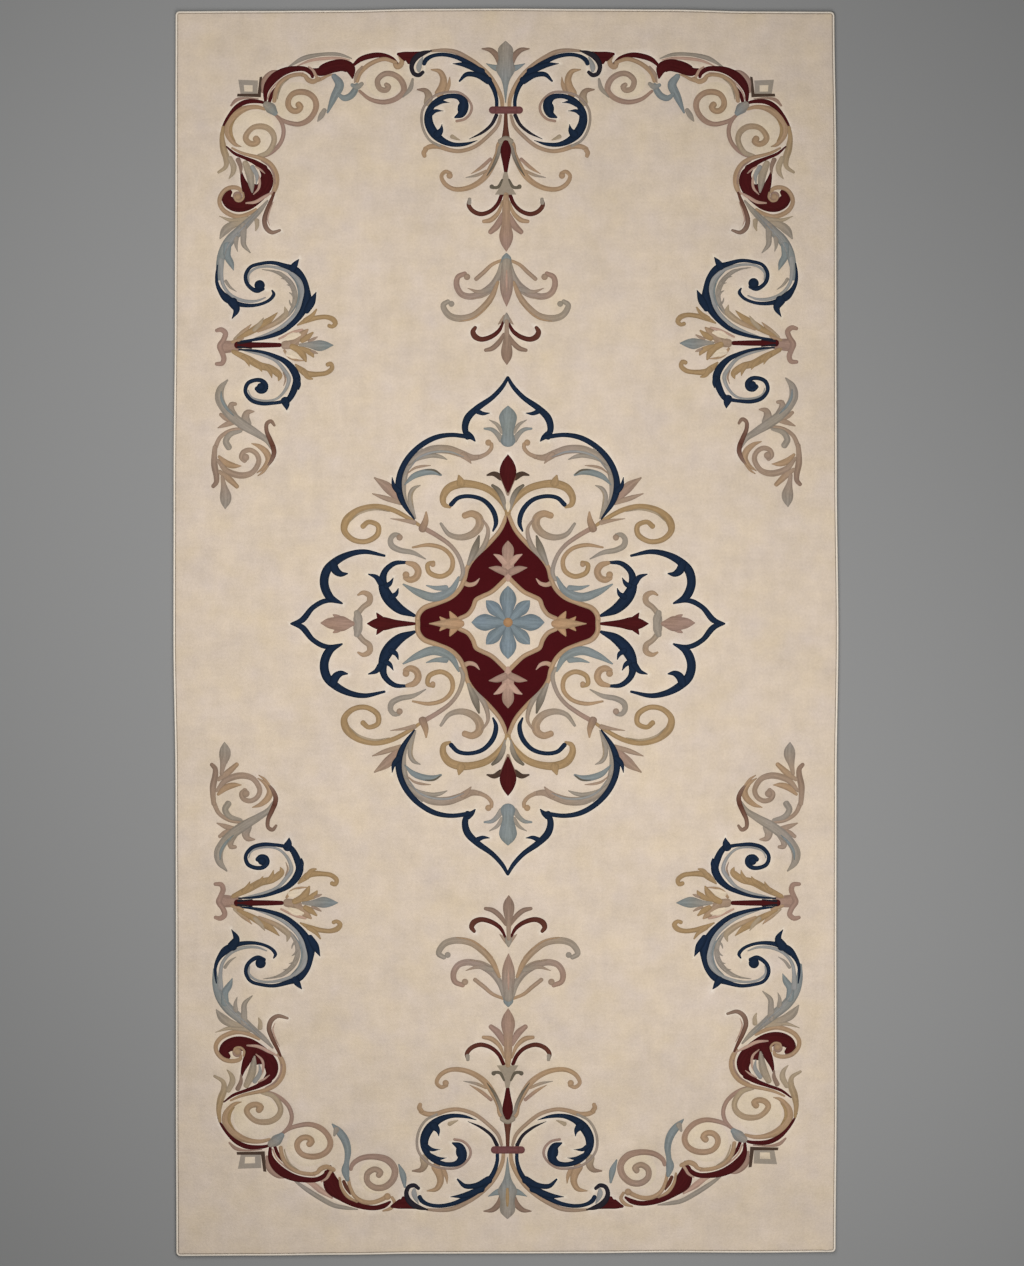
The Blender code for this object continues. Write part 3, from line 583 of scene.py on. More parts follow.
# On the level axis of the medallion, its left lobe. The first list is its upper half.
LOBE_HALF = [
    Stroke("navy", "291,623.7 301.6,620.4 313.2,607.3 326.5,600.7 342.2,603.2", "2 6 5.2 5 1"),
    Stroke("navy", "342,603.4 330,597.2 324.2,584 326.7,570.6 336.4,560.9 349.7,554.2 364.6,551.7 384.5,555.7", "2 8 9 9 8 6.2 5 2.6"),
    Stroke("navy", "333,563.4 335.6,570.4 341,574 347.4,573.6", "8 8.4 6 1.6"),
    Stroke("mauve", "341,619 336.5,616.5 332.8,614.6", "5 4.4 1"),
    Stroke("grey>tan", "356.3,628.7 357.1,615.6 362.9,607.3 369.4,602 369.4,595.7 363,592.6 358,595", "6 6 5.4 6 6 4.4 2"),
    Stroke("wine", "382,620.6 379,616.6 376.4,612.6", "8 5 0.8"),
]
LOBE_AXIS = [
    Stroke("grey", "356.8,612.6 358.2,618 359,623.7 358.2,629.4 356.8,634.8", "6 8.4 7 8.4 6"),
    Stroke("mauve", "320.4,623 327,623 335,623.4 343,623.7 352.5,623.7", "0.6 9 13 15 5"),
    Stroke("wine", "366.8,623.7 374,623.7 382.8,623.7 396,623.7 414.5,623.7", "0.6 9 13.6 8 3"),
]

# The flower in the middle: the petals stand round a tan button, on the ground yarn.
FLOWER_CENTRE = (508, 622.4)
FLOWER_BUTTON = 9.4
FLOWER_PETALS = 8
UPRIGHT_PETAL = (36.5, 17.0)
SLANTING_PETAL = (31.0, 13.0)
PETAL_START = 3.0


# Where a list of the chart goes: each square's place is the scale times it, plus the shift.
Place = namedtuple("Place", "strokes x_scale x_shift y_scale y_shift")


def mirrored(strokes, across=None, down=None, wider=1.0, axis=0.0, longer=1.0):
    """A place for a list, mirrored where the sum of the old and new place is given, and wider about an axis."""
    x_scale, x_shift = (wider, axis * (1 - wider)) if across is None else (-wider, across - axis * (1 - wider))
    y_scale, y_shift = (longer, 0.0) if down is None else (-longer, down)
    return Place(strokes, x_scale, x_shift, y_scale, y_shift)


def layout():
    """Every list of the chart at each of its places, in the order that it is worked."""
    places = []
    for strokes in (TOP_TIES, LINK_SCROLL, CENTRE_HALF, PENDANT_HALF):
        places.append(mirrored(strokes))
        places.append(mirrored(strokes, 1011.6))
    places.append(mirrored(CENTRE_AXIS))
    places.append(mirrored(CORNER))
    places.append(mirrored(CORNER, 1012.3))
    places.append(mirrored(BOTTOM_TIES))
    places.append(Place(BOTTOM_TIES, -1.0, 1015.5, 1.0, -4.5))
    places.append(Place(CENTRE_HALF, 1.07, -34.1, -1.0, 1260.5))
    places.append(Place(CENTRE_HALF, -1.07, 1048.3, -1.0, 1260.5))
    places.append(Place(PENDANT_HALF, 1.11, -53.4, -1.0, 1258.8))
    places.append(Place(PENDANT_HALF, -1.11, 1069.8, -1.0, 1258.8))
    places.append(Place(CENTRE_AXIS, 1.0, 1.9, -1.0, 1260.0))
    places.append(Place(STAMEN, 1.0, 1.9, -1.0, 1260.0))
    places.append(Place(CORNER, 1.186, -44.6, -1.0, 1248.5))
    places.append(Place(CORNER, -1.186, 1059.6, -1.0, 1244.0))
    for strokes, sum_down in ((S_SCROLL, 1248.4), (SIDE_MOTIF, 1248.0), (LEAF_SCROLL, 1251.0)):
        places.append(mirrored(strokes))
        places.append(Place(strokes, -1.0, 1013.2, 1.0, -2.0))
        places.append(Place(strokes, 1.05, -12.0, -1.0, sum_down))
        places.append(Place(strokes, -1.05, 1026.5, -1.0, sum_down))
    for strokes in (MEDALLION, MEDALLION_AXIS):
        for y_scale, y_shift in ((1.0, 0.0), (-1.0175, 1258.3)):
            places.append(Place(strokes, 1.0, 0.0, y_scale, y_shift))
            if strokes is MEDALLION:
                places.append(Place(strokes, -1.0, 1015.6, y_scale, y_shift))
    for x_scale, x_shift in ((1.0, 0.0), (-1.0, 1015.6)):
        places.append(Place(LOBE_HALF, x_scale, x_shift, 1.0, 0.0))
        places.append(Place(LOBE_HALF, x_scale, x_shift, -1.0, 1247.4))
        places.append(Place(LOBE_AXIS, x_scale, x_shift, 1.0, 0.0))
    places.append(Place(flower(), 1.0, 0.0, 1.0, 0.0))
    return places


def flower():
    """The eight petals and the button in the middle of the medallion."""
    middle_x, middle_y = FLOWER_CENTRE
    strokes = []
    for number in range(FLOWER_PETALS):
        angle = math.tau * number / FLOWER_PETALS
        length, width = SLANTING_PETAL if number % 2 else UPRIGHT_PETAL
        points = []
        for share in (0.0, 0.32, 0.6, 0.84, 1.0):
            reach = PETAL_START + share * (length - PETAL_START)
            points.append(f"{middle_x + reach * math.cos(angle)},{middle_y + reach * math.sin(angle)}")
        widths = (0.3 * width, 0.7 * width, width, 0.66 * width, 0.6)
        strokes.append(Stroke("petal", " ".join(points), " ".join(str(each) for each in widths)))
    strokes.append(Stroke("button", f"{middle_x},{middle_y}", str(FLOWER_BUTTON)))
    return strokes


def drift_at(side, along):
    """How far a side stands out at a share of the way along it, in metres, eased between the rows."""
    along = min(max(along, 0.0), 1.0)
    for before, after in zip(DRIFTS, DRIFTS[1:]):
        if along <= after.along:
            share = (along - before.along) / (after.along - before.along)
            ease = share * share * (3 - 2 * share)
            return MM * (getattr(before, side) * (1 - ease) + getattr(after, side) * ease)


def pulled_out_of_true(x, y):
    """Where a point of the true rectangle lies once each side has drifted."""
    across = x / RUG_WIDTH + 0.5
    up = y / RUG_LENGTH + 0.5
    moved_x = x + across * drift_at("right", up) - (1 - across) * drift_at("left", up)
    moved_y = y + up * drift_at("top", across) - (1 - up) * drift_at("bottom", across)
    return moved_x, moved_y


def true_outline(inset, side_steps=SIDE_STEPS):
    """Points anticlockwise round a rectangle with round corners, this far inside the rug's outer edge."""
    radius = CORNER_RADIUS - inset
    middle_x = RUG_WIDTH / 2 - CORNER_RADIUS
    middle_y = RUG_LENGTH / 2 - CORNER_RADIUS
    centres = [(middle_x, -middle_y), (middle_x, middle_y), (-middle_x, middle_y), (-middle_x, -middle_y)]
    points = []
    for quarter, (centre_x, centre_y) in enumerate(centres):
        for step in range(CORNER_STEPS + 1):
            angle = math.radians(90) * (quarter - 1 + step / CORNER_STEPS)
            points.append((centre_x + radius * math.cos(angle), centre_y + radius * math.sin(angle)))
        end_x, end_y = points[-1]
        next_x, next_y = centres[(quarter + 1) % len(centres)]
        next_x += radius * math.cos(angle)
        next_y += radius * math.sin(angle)
        for step in range(1, side_steps):
            share = step / side_steps
            points.append((end_x + share * (next_x - end_x), end_y + share * (next_y - end_y)))
    return points


def outline(inset, side_steps=SIDE_STEPS):
    """Points anticlockwise round the uneven rug, this far inside its outer edge."""
    edge = [pulled_out_of_true(x, y) for x, y in true_outline(0.0)]
    across, up = zip(*edge)
    middle = ((min(across) + max(across)) / 2, (min(up) + max(up)) / 2)
    moved = [pulled_out_of_true(x, y) for x, y in true_outline(inset, side_steps)]
    return [(x - middle[0], y - middle[1]) for x, y in moved]


def linear(channel):
    """A colour channel out of 255 as light."""
    value = channel / 255
    return value / 12.92 if value <= 0.04045 else ((value + 0.055) / 1.055) ** 2.4


def yarn_colour(name):
    yarn = YARNS[name]
    return np.array([linear(yarn.red), linear(yarn.green), linear(yarn.blue)])


# A placed stroke: the middle of each station in metres, half its width there, and its yarns.
Worked = namedtuple("Worked", "middles halves start end")


def smooth_stations(knots):
    """Stations at even steps on a smooth curve through the knots: x, y and width in squares."""
    if len(knots) == 2:
        count = max(2, int(np.linalg.norm(knots[1, :2] - knots[0, :2]) / STATION_STEP) + 2)
        return knots[0] + np.linspace(0, 1, count)[:, None] * (knots[1] - knots[0])
    gaps = np.sqrt(np.linalg.norm(np.diff(knots[:, :2], axis=0), axis=1)) + 1e-6
    slopes = np.diff(knots, axis=0) / gaps[:, None]
    tangents = np.empty_like(knots)
    tangents[0] = slopes[0]
    tangents[-1] = slopes[-1]
    before, after = gaps[:-1, None], gaps[1:, None]
    tangents[1:-1] = (slopes[:-1] * after + slopes[1:] * before) / (before + after)
    stations = [knots[:1]]
    for number, gap in enumerate(gaps):
        length = np.linalg.norm(knots[number + 1, :2] - knots[number, :2])
        count = max(1, int(math.ceil(length / STATION_STEP)))
        share = (np.arange(1, count + 1) / count)[:, None]
        stations.append(
            knots[number] * (2 * share**3 - 3 * share**2 + 1)
            + knots[number + 1] * (3 * share**2 - 2 * share**3)
            + tangents[number] * gap * (share**3 - 2 * share**2 + share)
            + tangents[number + 1] * gap * (share**3 - share**2)
        )
    return np.concatenate(stations)


def work_field(field, place):
    """A field of the chart where this place puts it, as the corners round its edge, in metres on the rug."""
    knots = np.array([[float(value) for value in pair.split(",")] + [0.0] for pair in field.path.split()])
    x = (knots[:, 0] * place.x_scale + place.x_shift - PAPER_MIDDLE[0]) * SQUARE
    y = (PAPER_MIDDLE[1] - knots[:, 1] * place.y_scale - place.y_shift) * SQUARE
    return Worked(np.column_stack([x, y]), None, field.yarn, field.yarn)


def with_round_ends(stations):
    """The stations with a half round added at each end that isn't a fine tip."""
    for last, before in ((0, 1), (-1, -2)):
        half = stations[last, 2] / 2
        if half < ROUND_END_FROM:
            continue
        ahead = stations[last, :2] - stations[before, :2]
        ahead /= max(np.linalg.norm(ahead), 1e-9)
        added = []
        for angle in (25, 50, 70, 84):
            reach = half * ROUND_END_REACH * math.sin(math.radians(angle))
            width = 2 * half * math.cos(math.radians(angle))
            added.append((*(stations[last, :2] + reach * ahead), width))
        added = np.array(added)
        stations = np.concatenate([added[::-1], stations]) if last == 0 else np.concatenate([stations, added])
    return stations


def work_stroke(stroke, place):
    """A stroke of the chart where this place puts it, in metres on the rug."""
    points = np.array([[float(value) for value in pair.split(",")] for pair in stroke.path.split()])
    given = np.array([float(value) for value in stroke.widths.split()])
    spread = np.interp(np.linspace(0, 1, len(points)), np.linspace(0, 1, len(given)), given)
    if len(given) == len(points):
        spread = given
    yarns = stroke.yarn.split(">")
    if len(points) == 1:
        stations = np.array([[points[0, 0], points[0, 1], spread[0]]])
    else:
        stations = smooth_stations(np.column_stack([points, spread]))
        stations[:, 2] = np.maximum(stations[:, 2], TIP_WIDTH)
        if stroke.shift:
            ahead = np.gradient(stations[:, :2], axis=0)
            ahead /= np.linalg.norm(ahead, axis=1)[:, None]
            stations[:, 0] -= stroke.shift * ahead[:, 1]
            stations[:, 1] += stroke.shift * ahead[:, 0]
    if len(points) > 1:
        stations = with_round_ends(stations)
    x = (stations[:, 0] * place.x_scale + place.x_shift - PAPER_MIDDLE[0]) * SQUARE
    y = (PAPER_MIDDLE[1] - stations[:, 1] * place.y_scale - place.y_shift) * SQUARE
    return Worked(np.column_stack([x, y]), stations[:, 2] / 2 * SQUARE, yarns[0], yarns[-1])


def stroke_sides(worked):
    """Unit vectors to the left of a stroke at each station."""
    ahead = np.gradient(worked.middles, axis=0)
    lengths = np.linalg.norm(ahead, axis=1)
    lengths[lengths == 0] = 1
    ahead /= lengths[:, None]
    return np.column_stack([-ahead[:, 1], ahead[:, 0]])


class Cartoon:
    """The outlines of every stroke as edges to triangulate, and the strokes stacked in the order of working."""

    def __init__(self):
        self.corners = []
        self.edges = []
        self.loose = []
        self.stack_corners = []
        self.stack_faces = []
        self.stack_owners = []
        self.border = []

    def add_corners(self, points):
        first = len(self.corners)
        self.corners.extend((float(x), float(y)) for x, y in points)
        return first

    def add_line(self, points):
        first = self.add_corners(points)
        self.edges.extend((number, number + 1) for number in range(first, first + len(points) - 1))
        return first

    def add_loop(self, points):
        first = self.add_line(points)
        self.edges.append((first + len(points) - 1, first))
        return first

    def add_rug_border(self, points):
        first = self.add_loop(points)
        self.border = list(range(first, first + len(points)))

    def stack(self, corners, faces, owner):
        """Lays a stroke's faces on the stack, a step above all that were worked before it."""
        first = len(self.stack_corners)
        self.stack_corners.extend((float(x), float(y), owner * STACK_STEP) for x, y in corners)
        self.stack_faces.extend(tuple(first + number for number in face) for face in faces)
        self.stack_owners.extend([owner] * len(faces))

    def add_stroke(self, worked, owner):
        """A stroke's two sides as edges, with loose points for the carved line along both."""
        if len(worked.middles) == 1:
            self.add_spot(worked, owner)
            return
        sides = stroke_sides(worked)
        left = worked.middles + sides * worked.halves[:, None]
        right = worked.middles - sides * worked.halves[:, None]
        self.add_loop(np.concatenate([left, right[::-1]]))
        count = len(left)
        faces = []
        for step in range(count - 1):
            faces.append((step, step + count, step + count + 1))
            faces.append((step, step + count + 1, step + 1))
        self.stack(np.concatenate([left, right]), faces, owner)
        carved = CARVED_SQUARES * SQUARE
        for side in (-1, 1):
            self.loose.extend(worked.middles + side * sides * (worked.halves[:, None] + carved))
            wide = worked.halves > 1.5 * carved
            inner = worked.middles + side * sides * (worked.halves[:, None] - carved)
            self.loose.extend(inner[wide])
        self.loose.extend(worked.middles)

    def add_field(self, worked, owner):
        self.add_loop(worked.middles)
        outline_3d = [Vector((x, y, 0)) for x, y in worked.middles]
        self.stack(worked.middles, tessellate_polygon([outline_3d]), owner)

    def add_spot(self, worked, owner):
        radius = worked.halves[0]
        count = max(10, int(math.tau * radius / (STATION_STEP * SQUARE)) + 4)
        angles = np.arange(count) * math.tau / count
        ring = np.column_stack([np.cos(angles), np.sin(angles)])
        edge = worked.middles[0] + ring * radius
        self.add_loop(edge)
        faces = [(count, number, (number + 1) % count) for number in range(count)]
        self.stack(np.concatenate([edge, worked.middles]), faces, owner)
        carved = CARVED_SQUARES * SQUARE
        self.loose.extend(worked.middles[0] + ring * (radius + carved))
        self.loose.extend(worked.middles[0] + ring * max(radius - carved, 0.3 * radius))

    def add_grid(self, step, inset):
        half_x = RUG_WIDTH / 2 - inset
        half_y = RUG_LENGTH / 2 - inset
        across = np.linspace(-half_x, half_x, int(2 * half_x / step) + 1)
        up = np.linspace(-half_y, half_y, int(2 * half_y / step) + 1)
        for row, y in enumerate(up):
            shift = step / 2 if row % 2 else 0.0
            self.loose.extend((x + shift, y) for x in across[:-1])

    def kept_loose_points(self):
        """The loose points that stand clear of every outline and of each other."""
        gap = POINT_GAP * CARVED_SQUARES * SQUARE
        marks = list(self.corners)
        for a, b in self.edges:
            ax, ay = self.corners[a]
            bx, by = self.corners[b]
            marks.append(((ax + bx) / 2, (ay + by) / 2))
        taken = set()
        for x, y in marks:
            taken.add((round(x / gap), round(y / gap)))
        kept = []
        for x, y in self.loose:
            cell_x, cell_y = round(x / gap), round(y / gap)
            near = any((cell_x + dx, cell_y + dy) in taken for dx in (-1, 0, 1) for dy in (-1, 0, 1))
            if not near:
                taken.add((cell_x, cell_y))
                kept.append((float(x), float(y)))
        return kept

    def triangulate(self):
        """The corners and triangles of the rug's face, and the stroke that is uppermost on each triangle."""
        points = [Vector(corner) for corner in self.corners]
        points += [Vector(point) for point in self.kept_loose_points()]
        found = delaunay_2d_cdt(points, self.edges, [self.border], 0, WELD, True)
        corners = np.array([tuple(corner) for corner in found[0]])
        faces = [face for face, inside in zip(found[2], found[5]) if inside]
        looked_down_on = BVHTree.FromPolygons(self.stack_corners, self.stack_faces, all_triangles=True)
        height = (self.stack_owners[-1] + 2) * STACK_STEP
        owners = []
        for x, y in corners[np.array(faces)].mean(axis=1):
            hit = looked_down_on.ray_cast((x, y, height), (0, 0, -1))[2]
            owners.append(GROUND if hit is None else self.stack_owners[hit])
        return corners, faces, owners


def rim_drop(distance):
    """How far the pile drops this far inside its edge, where its rim is rounded over."""
    inward = np.clip(PILE_ROUNDING - distance, 0, PILE_ROUNDING)
    return PILE_ROUNDING - np.sqrt(PILE_ROUNDING**2 - inward**2)


def soft_waves(points):
    """The slow unevenness of cut pile, from 0 to 1."""
    x, y = points[:, 0], points[:, 1]
    waves = np.sin(9 * x + 2.2 * np.sin(5 * y)) + np.sin(7 * y + 1.7 * np.sin(11 * x + 1))
    waves += 0.6 * np.sin(31 * x + 5 * np.sin(13 * y)) + 0.6 * np.sin(27 * y + 4 * np.sin(17 * x + 2))
    return (waves / 3.2 + 1) / 2


def nearest_distances(points, marks):
    """The distance from each point to its nearest mark."""
    tree = KDTree(len(marks))
    for number, (x, y) in enumerate(marks):
        tree.insert((x, y, 0), number)
    tree.balance()
    return np.array([tree.find((x, y, 0))[2] for x, y in points])


def edge_marks(corners, pairs):
    """Both ends and three points on each edge, as marks to measure from."""
    starts = corners[[a for a, b in pairs]]
    ends = corners[[b for a, b in pairs]]
    return np.concatenate([starts + share * (ends - starts) for share in (0.0, 0.25, 0.5, 0.75)])


def stroke_colours(worked, points):
    """The yarn's colour at each point: it changes along the stroke and darkens towards the edges, partly as the darker
    outline yarn and partly as painted shade for a rounded, raised look.
    """
    start, end = yarn_colour(worked.start), yarn_colour(worked.end)
    if worked.halves is None:
        return np.tile(start, (len(points), 1))
    gaps = np.linalg.norm(points[:, None, :] - worked.middles[None, :, :], axis=2)
    nearest = gaps.argmin(axis=1)
    share = nearest / max(1, len(worked.middles) - 1)
    blend = share * share * (3 - 2 * share)
    off_centre = np.clip(gaps.min(axis=1) / worked.halves[nearest], 0, 1)
    edge = YARNS[worked.start].edge * (1 - blend) + YARNS[worked.end].edge * blend
    # Painted shade: the colour darkens towards the stroke's edges, partly for the darker outline yarn and partly for a
    # rounded, raised look.
    shade = (1 - (1 - edge) * off_centre**2) ** DISPLAY_GAMMA
    return (start * (1 - blend[:, None]) + end * blend[:, None]) * shade[:, None]


def lay_of_yarn(worked, points):
    """How the rows of yarn run: tuft rows across the stroke, rows along it, and how far the rows show."""
    if worked.halves is None or len(worked.middles) == 1:
        return np.column_stack([points / SQUARE, np.zeros(len(points))])
    gaps = points[:, None, :] - worked.middles[None, :, :]
    nearest = np.linalg.norm(gaps, axis=2).argmin(axis=1)
    sides = stroke_sides(worked)[nearest]
    across = (gaps[np.arange(len(points)), nearest] * sides).sum(axis=1) / SQUARE
    return np.column_stack([across, nearest * STATION_STEP, np.ones(len(points))])


def make_pile():
    """The whole face of the rug, cut where the yarn changes, as one piece for each family of yarns."""
    cartoon = Cartoon()
    pile_inset = WHIPPED_WIDTH + SEAM_GAP
    cartoon.add_rug_border(outline(pile_inset))
    for share in (0.14, 0.36, 0.64, 1.0):
        cartoon.add_loop(outline(pile_inset + share * PILE_ROUNDING))
    worked_strokes = []
    for place in layout():
        for stroke in place.strokes:
            if isinstance(stroke, Field):
                worked = work_field(stroke, place)
                cartoon.add_field(worked, len(worked_strokes))
            else:
                worked = work_stroke(stroke, place)
                cartoon.add_stroke(worked, len(worked_strokes))
            worked_strokes.append(worked)
    cartoon.add_grid(GRID_STEP, 0.02)
    corners, faces, owners = cartoon.triangulate()
    keys = ["ground" if owner == GROUND else worked_strokes[owner].start for owner in owners]

    seen = {}
    for face, key in zip(faces, keys):
        for a, b in zip(face, face[1:] + face[:1]):
            seen.setdefault((min(a, b), max(a, b)), []).append(key)
    border = [pair for pair, found in seen.items() if len(found) == 2 and found[0] != found[1]]
    dark = [pair for pair in border if {"navy", "night", "wine", "claret", "rust"} & set(seen[pair])]
    rim_pairs = [pair for pair, found in seen.items() if len(found) == 1]

    to_border = nearest_distances(corners, edge_marks(corners, border))
    to_dark = nearest_distances(corners, edge_marks(corners, dark))
    to_rim = nearest_distances(corners, edge_marks(corners, rim_pairs))
    carved = np.clip(1 - to_border / (CARVED_SQUARES * SQUARE), 0, 1) ** 1.5
    heights = THICKNESS - CARVED_DEPTH * carved - 0.0003 * (1 - soft_waves(corners))
    heights -= rim_drop(to_rim)
    halo = np.clip(1 - to_dark / HALO_WIDTH, 0, 1) ** 1.3

    faces_of = {family: [] for family in FAMILIES}
    for number, key in enumerate(keys):
        faces_of[YARNS[key].family].append(number)

    corner_colours = {}
    corner_lays = {}
    by_owner = {}
    for number, owner in enumerate(owners):
        by_owner.setdefault(owner, []).append(number)
    ground, pale = yarn_colour("ground"), yarn_colour("halo")
    for owner, numbers in by_owner.items():
        used = sorted({corner for number in numbers for corner in faces[number]})
        if owner == GROUND:
            colours = ground + halo[used][:, None] * (pale - ground)
            lays = np.column_stack([corners[used] / SQUARE, np.zeros(len(used))])
        else:
            colours = stroke_colours(worked_strokes[owner], corners[used])
            lays = lay_of_yarn(worked_strokes[owner], corners[used])
        colour_at = dict(zip(used, colours))
        lay_at = dict(zip(used, lays))
        for number in numbers:
            corner_colours[number] = [colour_at[corner] for corner in faces[number]]
            corner_lays[number] = [lay_at[corner] for corner in faces[number]]

    pieces = []
    for family in FAMILIES:
        numbers = faces_of[family]
        pieces.append(make_yarn_piece(family, corners, heights, faces, numbers, corner_colours, corner_lays))
    return pieces


def make_yarn_piece(family, corners, heights, faces, numbers, corner_colours, corner_lays):
    """One family of yarns as a piece of pile, with its colours on the face corners."""
    used = sorted({corner for number in numbers for corner in faces[number]})
    new_number = {corner: place for place, corner in enumerate(used)}
    points = [(corners[corner][0], corners[corner][1], heights[corner]) for corner in used]
    mesh = bpy.data.meshes.new(f"pile_{family}")
    mesh.from_pydata(points, [], [[new_number[corner] for corner in faces[number]] for number in numbers])
    colours = np.ones((len(mesh.loops), 4), dtype=np.float32)
    colours[:, :3] = np.array([colour for number in numbers for colour in corner_colours[number]])
    layer = mesh.color_attributes.new("yarn", "FLOAT_COLOR", "CORNER")
    layer.data.foreach_set("color", colours.ravel())
    lays = np.array([lay for number in numbers for lay in corner_lays[number]], dtype=np.float32)
    mesh.attributes.new("lay", "FLOAT_VECTOR", "CORNER").data.foreach_set("vector", lays.ravel())
    if family == "ground":
        drop_rim(mesh)
    mesh.polygons.foreach_set("use_smooth", [True] * len(mesh.polygons))
    piece = bpy.data.objects.new(f"pile_{family}", mesh)
    bpy.context.collection.objects.link(piece)
    return piece


def drop_rim(mesh):
    """Pulls the pile's outer rim down as a side wall, to just above the floor."""
    shape = bmesh.new()
    shape.from_mesh(mesh)
    lowest = THICKNESS - PILE_ROUNDING * 0.9
    rim = [edge for edge in shape.edges if edge.is_boundary and max(c.co.z for c in edge.verts) < lowest]
    walls = bmesh.ops.extrude_edge_only(shape, edges=rim)["geom"]
    for part in walls:
        if isinstance(part, bmesh.types.BMVert):
            part.co.z = WALL_FOOT
    layer = shape.loops.layers.float_color["yarn"]
    colour = (*yarn_colour("ground"), 1.0)
    for part in walls:
        if isinstance(part, bmesh.types.BMFace):
            for loop in part.loops:
                loop[layer] = colour
    bmesh.ops.recalc_face_normals(shape, faces=[face for face in shape.faces if abs(face.normal.z) < 0.5])
    middle_x = sum(c.co.x for c in shape.verts) / len(shape.verts)
    for part in walls:
        if isinstance(part, bmesh.types.BMFace):
            part.normal_update()
            middle = part.calc_center_median()
            outward = abs(middle.x) / RUG_WIDTH > abs(middle.y) / RUG_LENGTH
            facing = part.normal.x * middle.x if outward else part.normal.y * middle.y
            if facing < 0:
                part.normal_flip()
    shape.to_mesh(mesh)
    shape.free()


HALO_WIDTH = 0.0036
WALL_FOOT = 0.0004


def closed_path(name, points, height, dimensions, radii=None):
    """A closed curve object through the points, level at this height."""
    data = bpy.data.curves.new(name, "CURVE")
    data.dimensions = dimensions
    spline = data.splines.new("POLY")
    spline.points.add(len(points) - 1)
    for number, (point, (x, y)) in enumerate(zip(spline.points, points)):
        point.co = (x, y, height, 1.0)
        point.radius = radii[number] if radii else 1.0
    spline.use_cyclic_u = True
    return bpy.data.objects.new(name, data)


WRAP_PITCH = 0.0028
WRAP_DEPTH = 0.07


def wrapped_points(points):
    """The closed path again, with two points for every turn of the whipping yarn."""
    loop = np.array(points + points[:1])
    lengths = np.linalg.norm(np.diff(loop, axis=0), axis=1)
    along = np.concatenate([[0], np.cumsum(lengths)])
    turns = int(along[-1] / WRAP_PITCH)
    places = np.arange(2 * turns) * along[-1] / (2 * turns)
    x = np.interp(places, along, loop[:, 0])
    y = np.interp(places, along, loop[:, 1])
    return list(zip(x.tolist(), y.tolist()))


def make_whipped_edge():
    """The yarn wound round the rug's edge, one ridge for every turn."""
    profile_points = []
    for number in range(PROFILE_POINTS):
        angle = math.tau * (number + 0.5) / PROFILE_POINTS
        across = math.copysign(abs(math.cos(angle)) ** (2 / PROFILE_SQUARENESS), math.cos(angle))
        up = math.copysign(abs(math.sin(angle)) ** (2 / PROFILE_SQUARENESS), math.sin(angle))
        profile_points.append((across * WHIPPED_WIDTH / 2, up * WHIPPED_HEIGHT / 2))
    profile = closed_path("whipping_profile", profile_points, 0.0, "2D")
    points = wrapped_points(outline(WHIPPED_WIDTH / 2))
    radii = [1.0 if number % 2 else 1.0 - WRAP_DEPTH for number in range(len(points))]
    path = closed_path("whipping_path", points, WHIPPED_HEIGHT / 2, "3D", radii)
    path.data.twist_mode = "Z_UP"
    path.data.bevel_mode = "OBJECT"
    path.data.bevel_object = profile
    bpy.context.collection.objects.link(profile)
    bpy.context.collection.objects.link(path)
    bpy.context.view_layer.update()
    mesh = bpy.data.meshes.new_from_object(path.evaluated_get(bpy.context.evaluated_depsgraph_get()))
    bpy.data.objects.remove(path)
    bpy.data.objects.remove(profile)
    shape = bmesh.new()
    shape.from_mesh(mesh)
    bmesh.ops.remove_doubles(shape, verts=shape.verts, dist=WELD)
    bmesh.ops.recalc_face_normals(shape, faces=shape.faces)
    shape.to_mesh(mesh)
    shape.free()
    mesh.polygons.foreach_set("use_smooth", [True] * len(mesh.polygons))
    edge = bpy.data.objects.new("whipped_yarn_edge", mesh)
    bpy.context.collection.objects.link(edge)
    return edge


BACKING_TOP = 0.0060
BACKING_INSET = 0.0006


def make_backing():
    """The foundation and backing cloth with the latex between them, as one flat sheet under the pile."""
    shape = bmesh.new()
    rim = [shape.verts.new((x, y, 0)) for x, y in outline(WHIPPED_WIDTH + SEAM_GAP + BACKING_INSET, 26)]
    bottom = shape.faces.new(rim)
    raised = bmesh.ops.extrude_face_region(shape, geom=[bottom])["geom"]
    upper = [part for part in raised if isinstance(part, bmesh.types.BMVert)]
    bmesh.ops.translate(shape, verts=upper, vec=(0, 0, BACKING_TOP))
    bmesh.ops.recalc_face_normals(shape, faces=shape.faces)
    mesh = bpy.data.meshes.new("rug_backing")
    shape.to_mesh(mesh)
    shape.free()
    backing = bpy.data.objects.new("rug_backing", mesh)
    bpy.context.collection.objects.link(backing)
    return backing


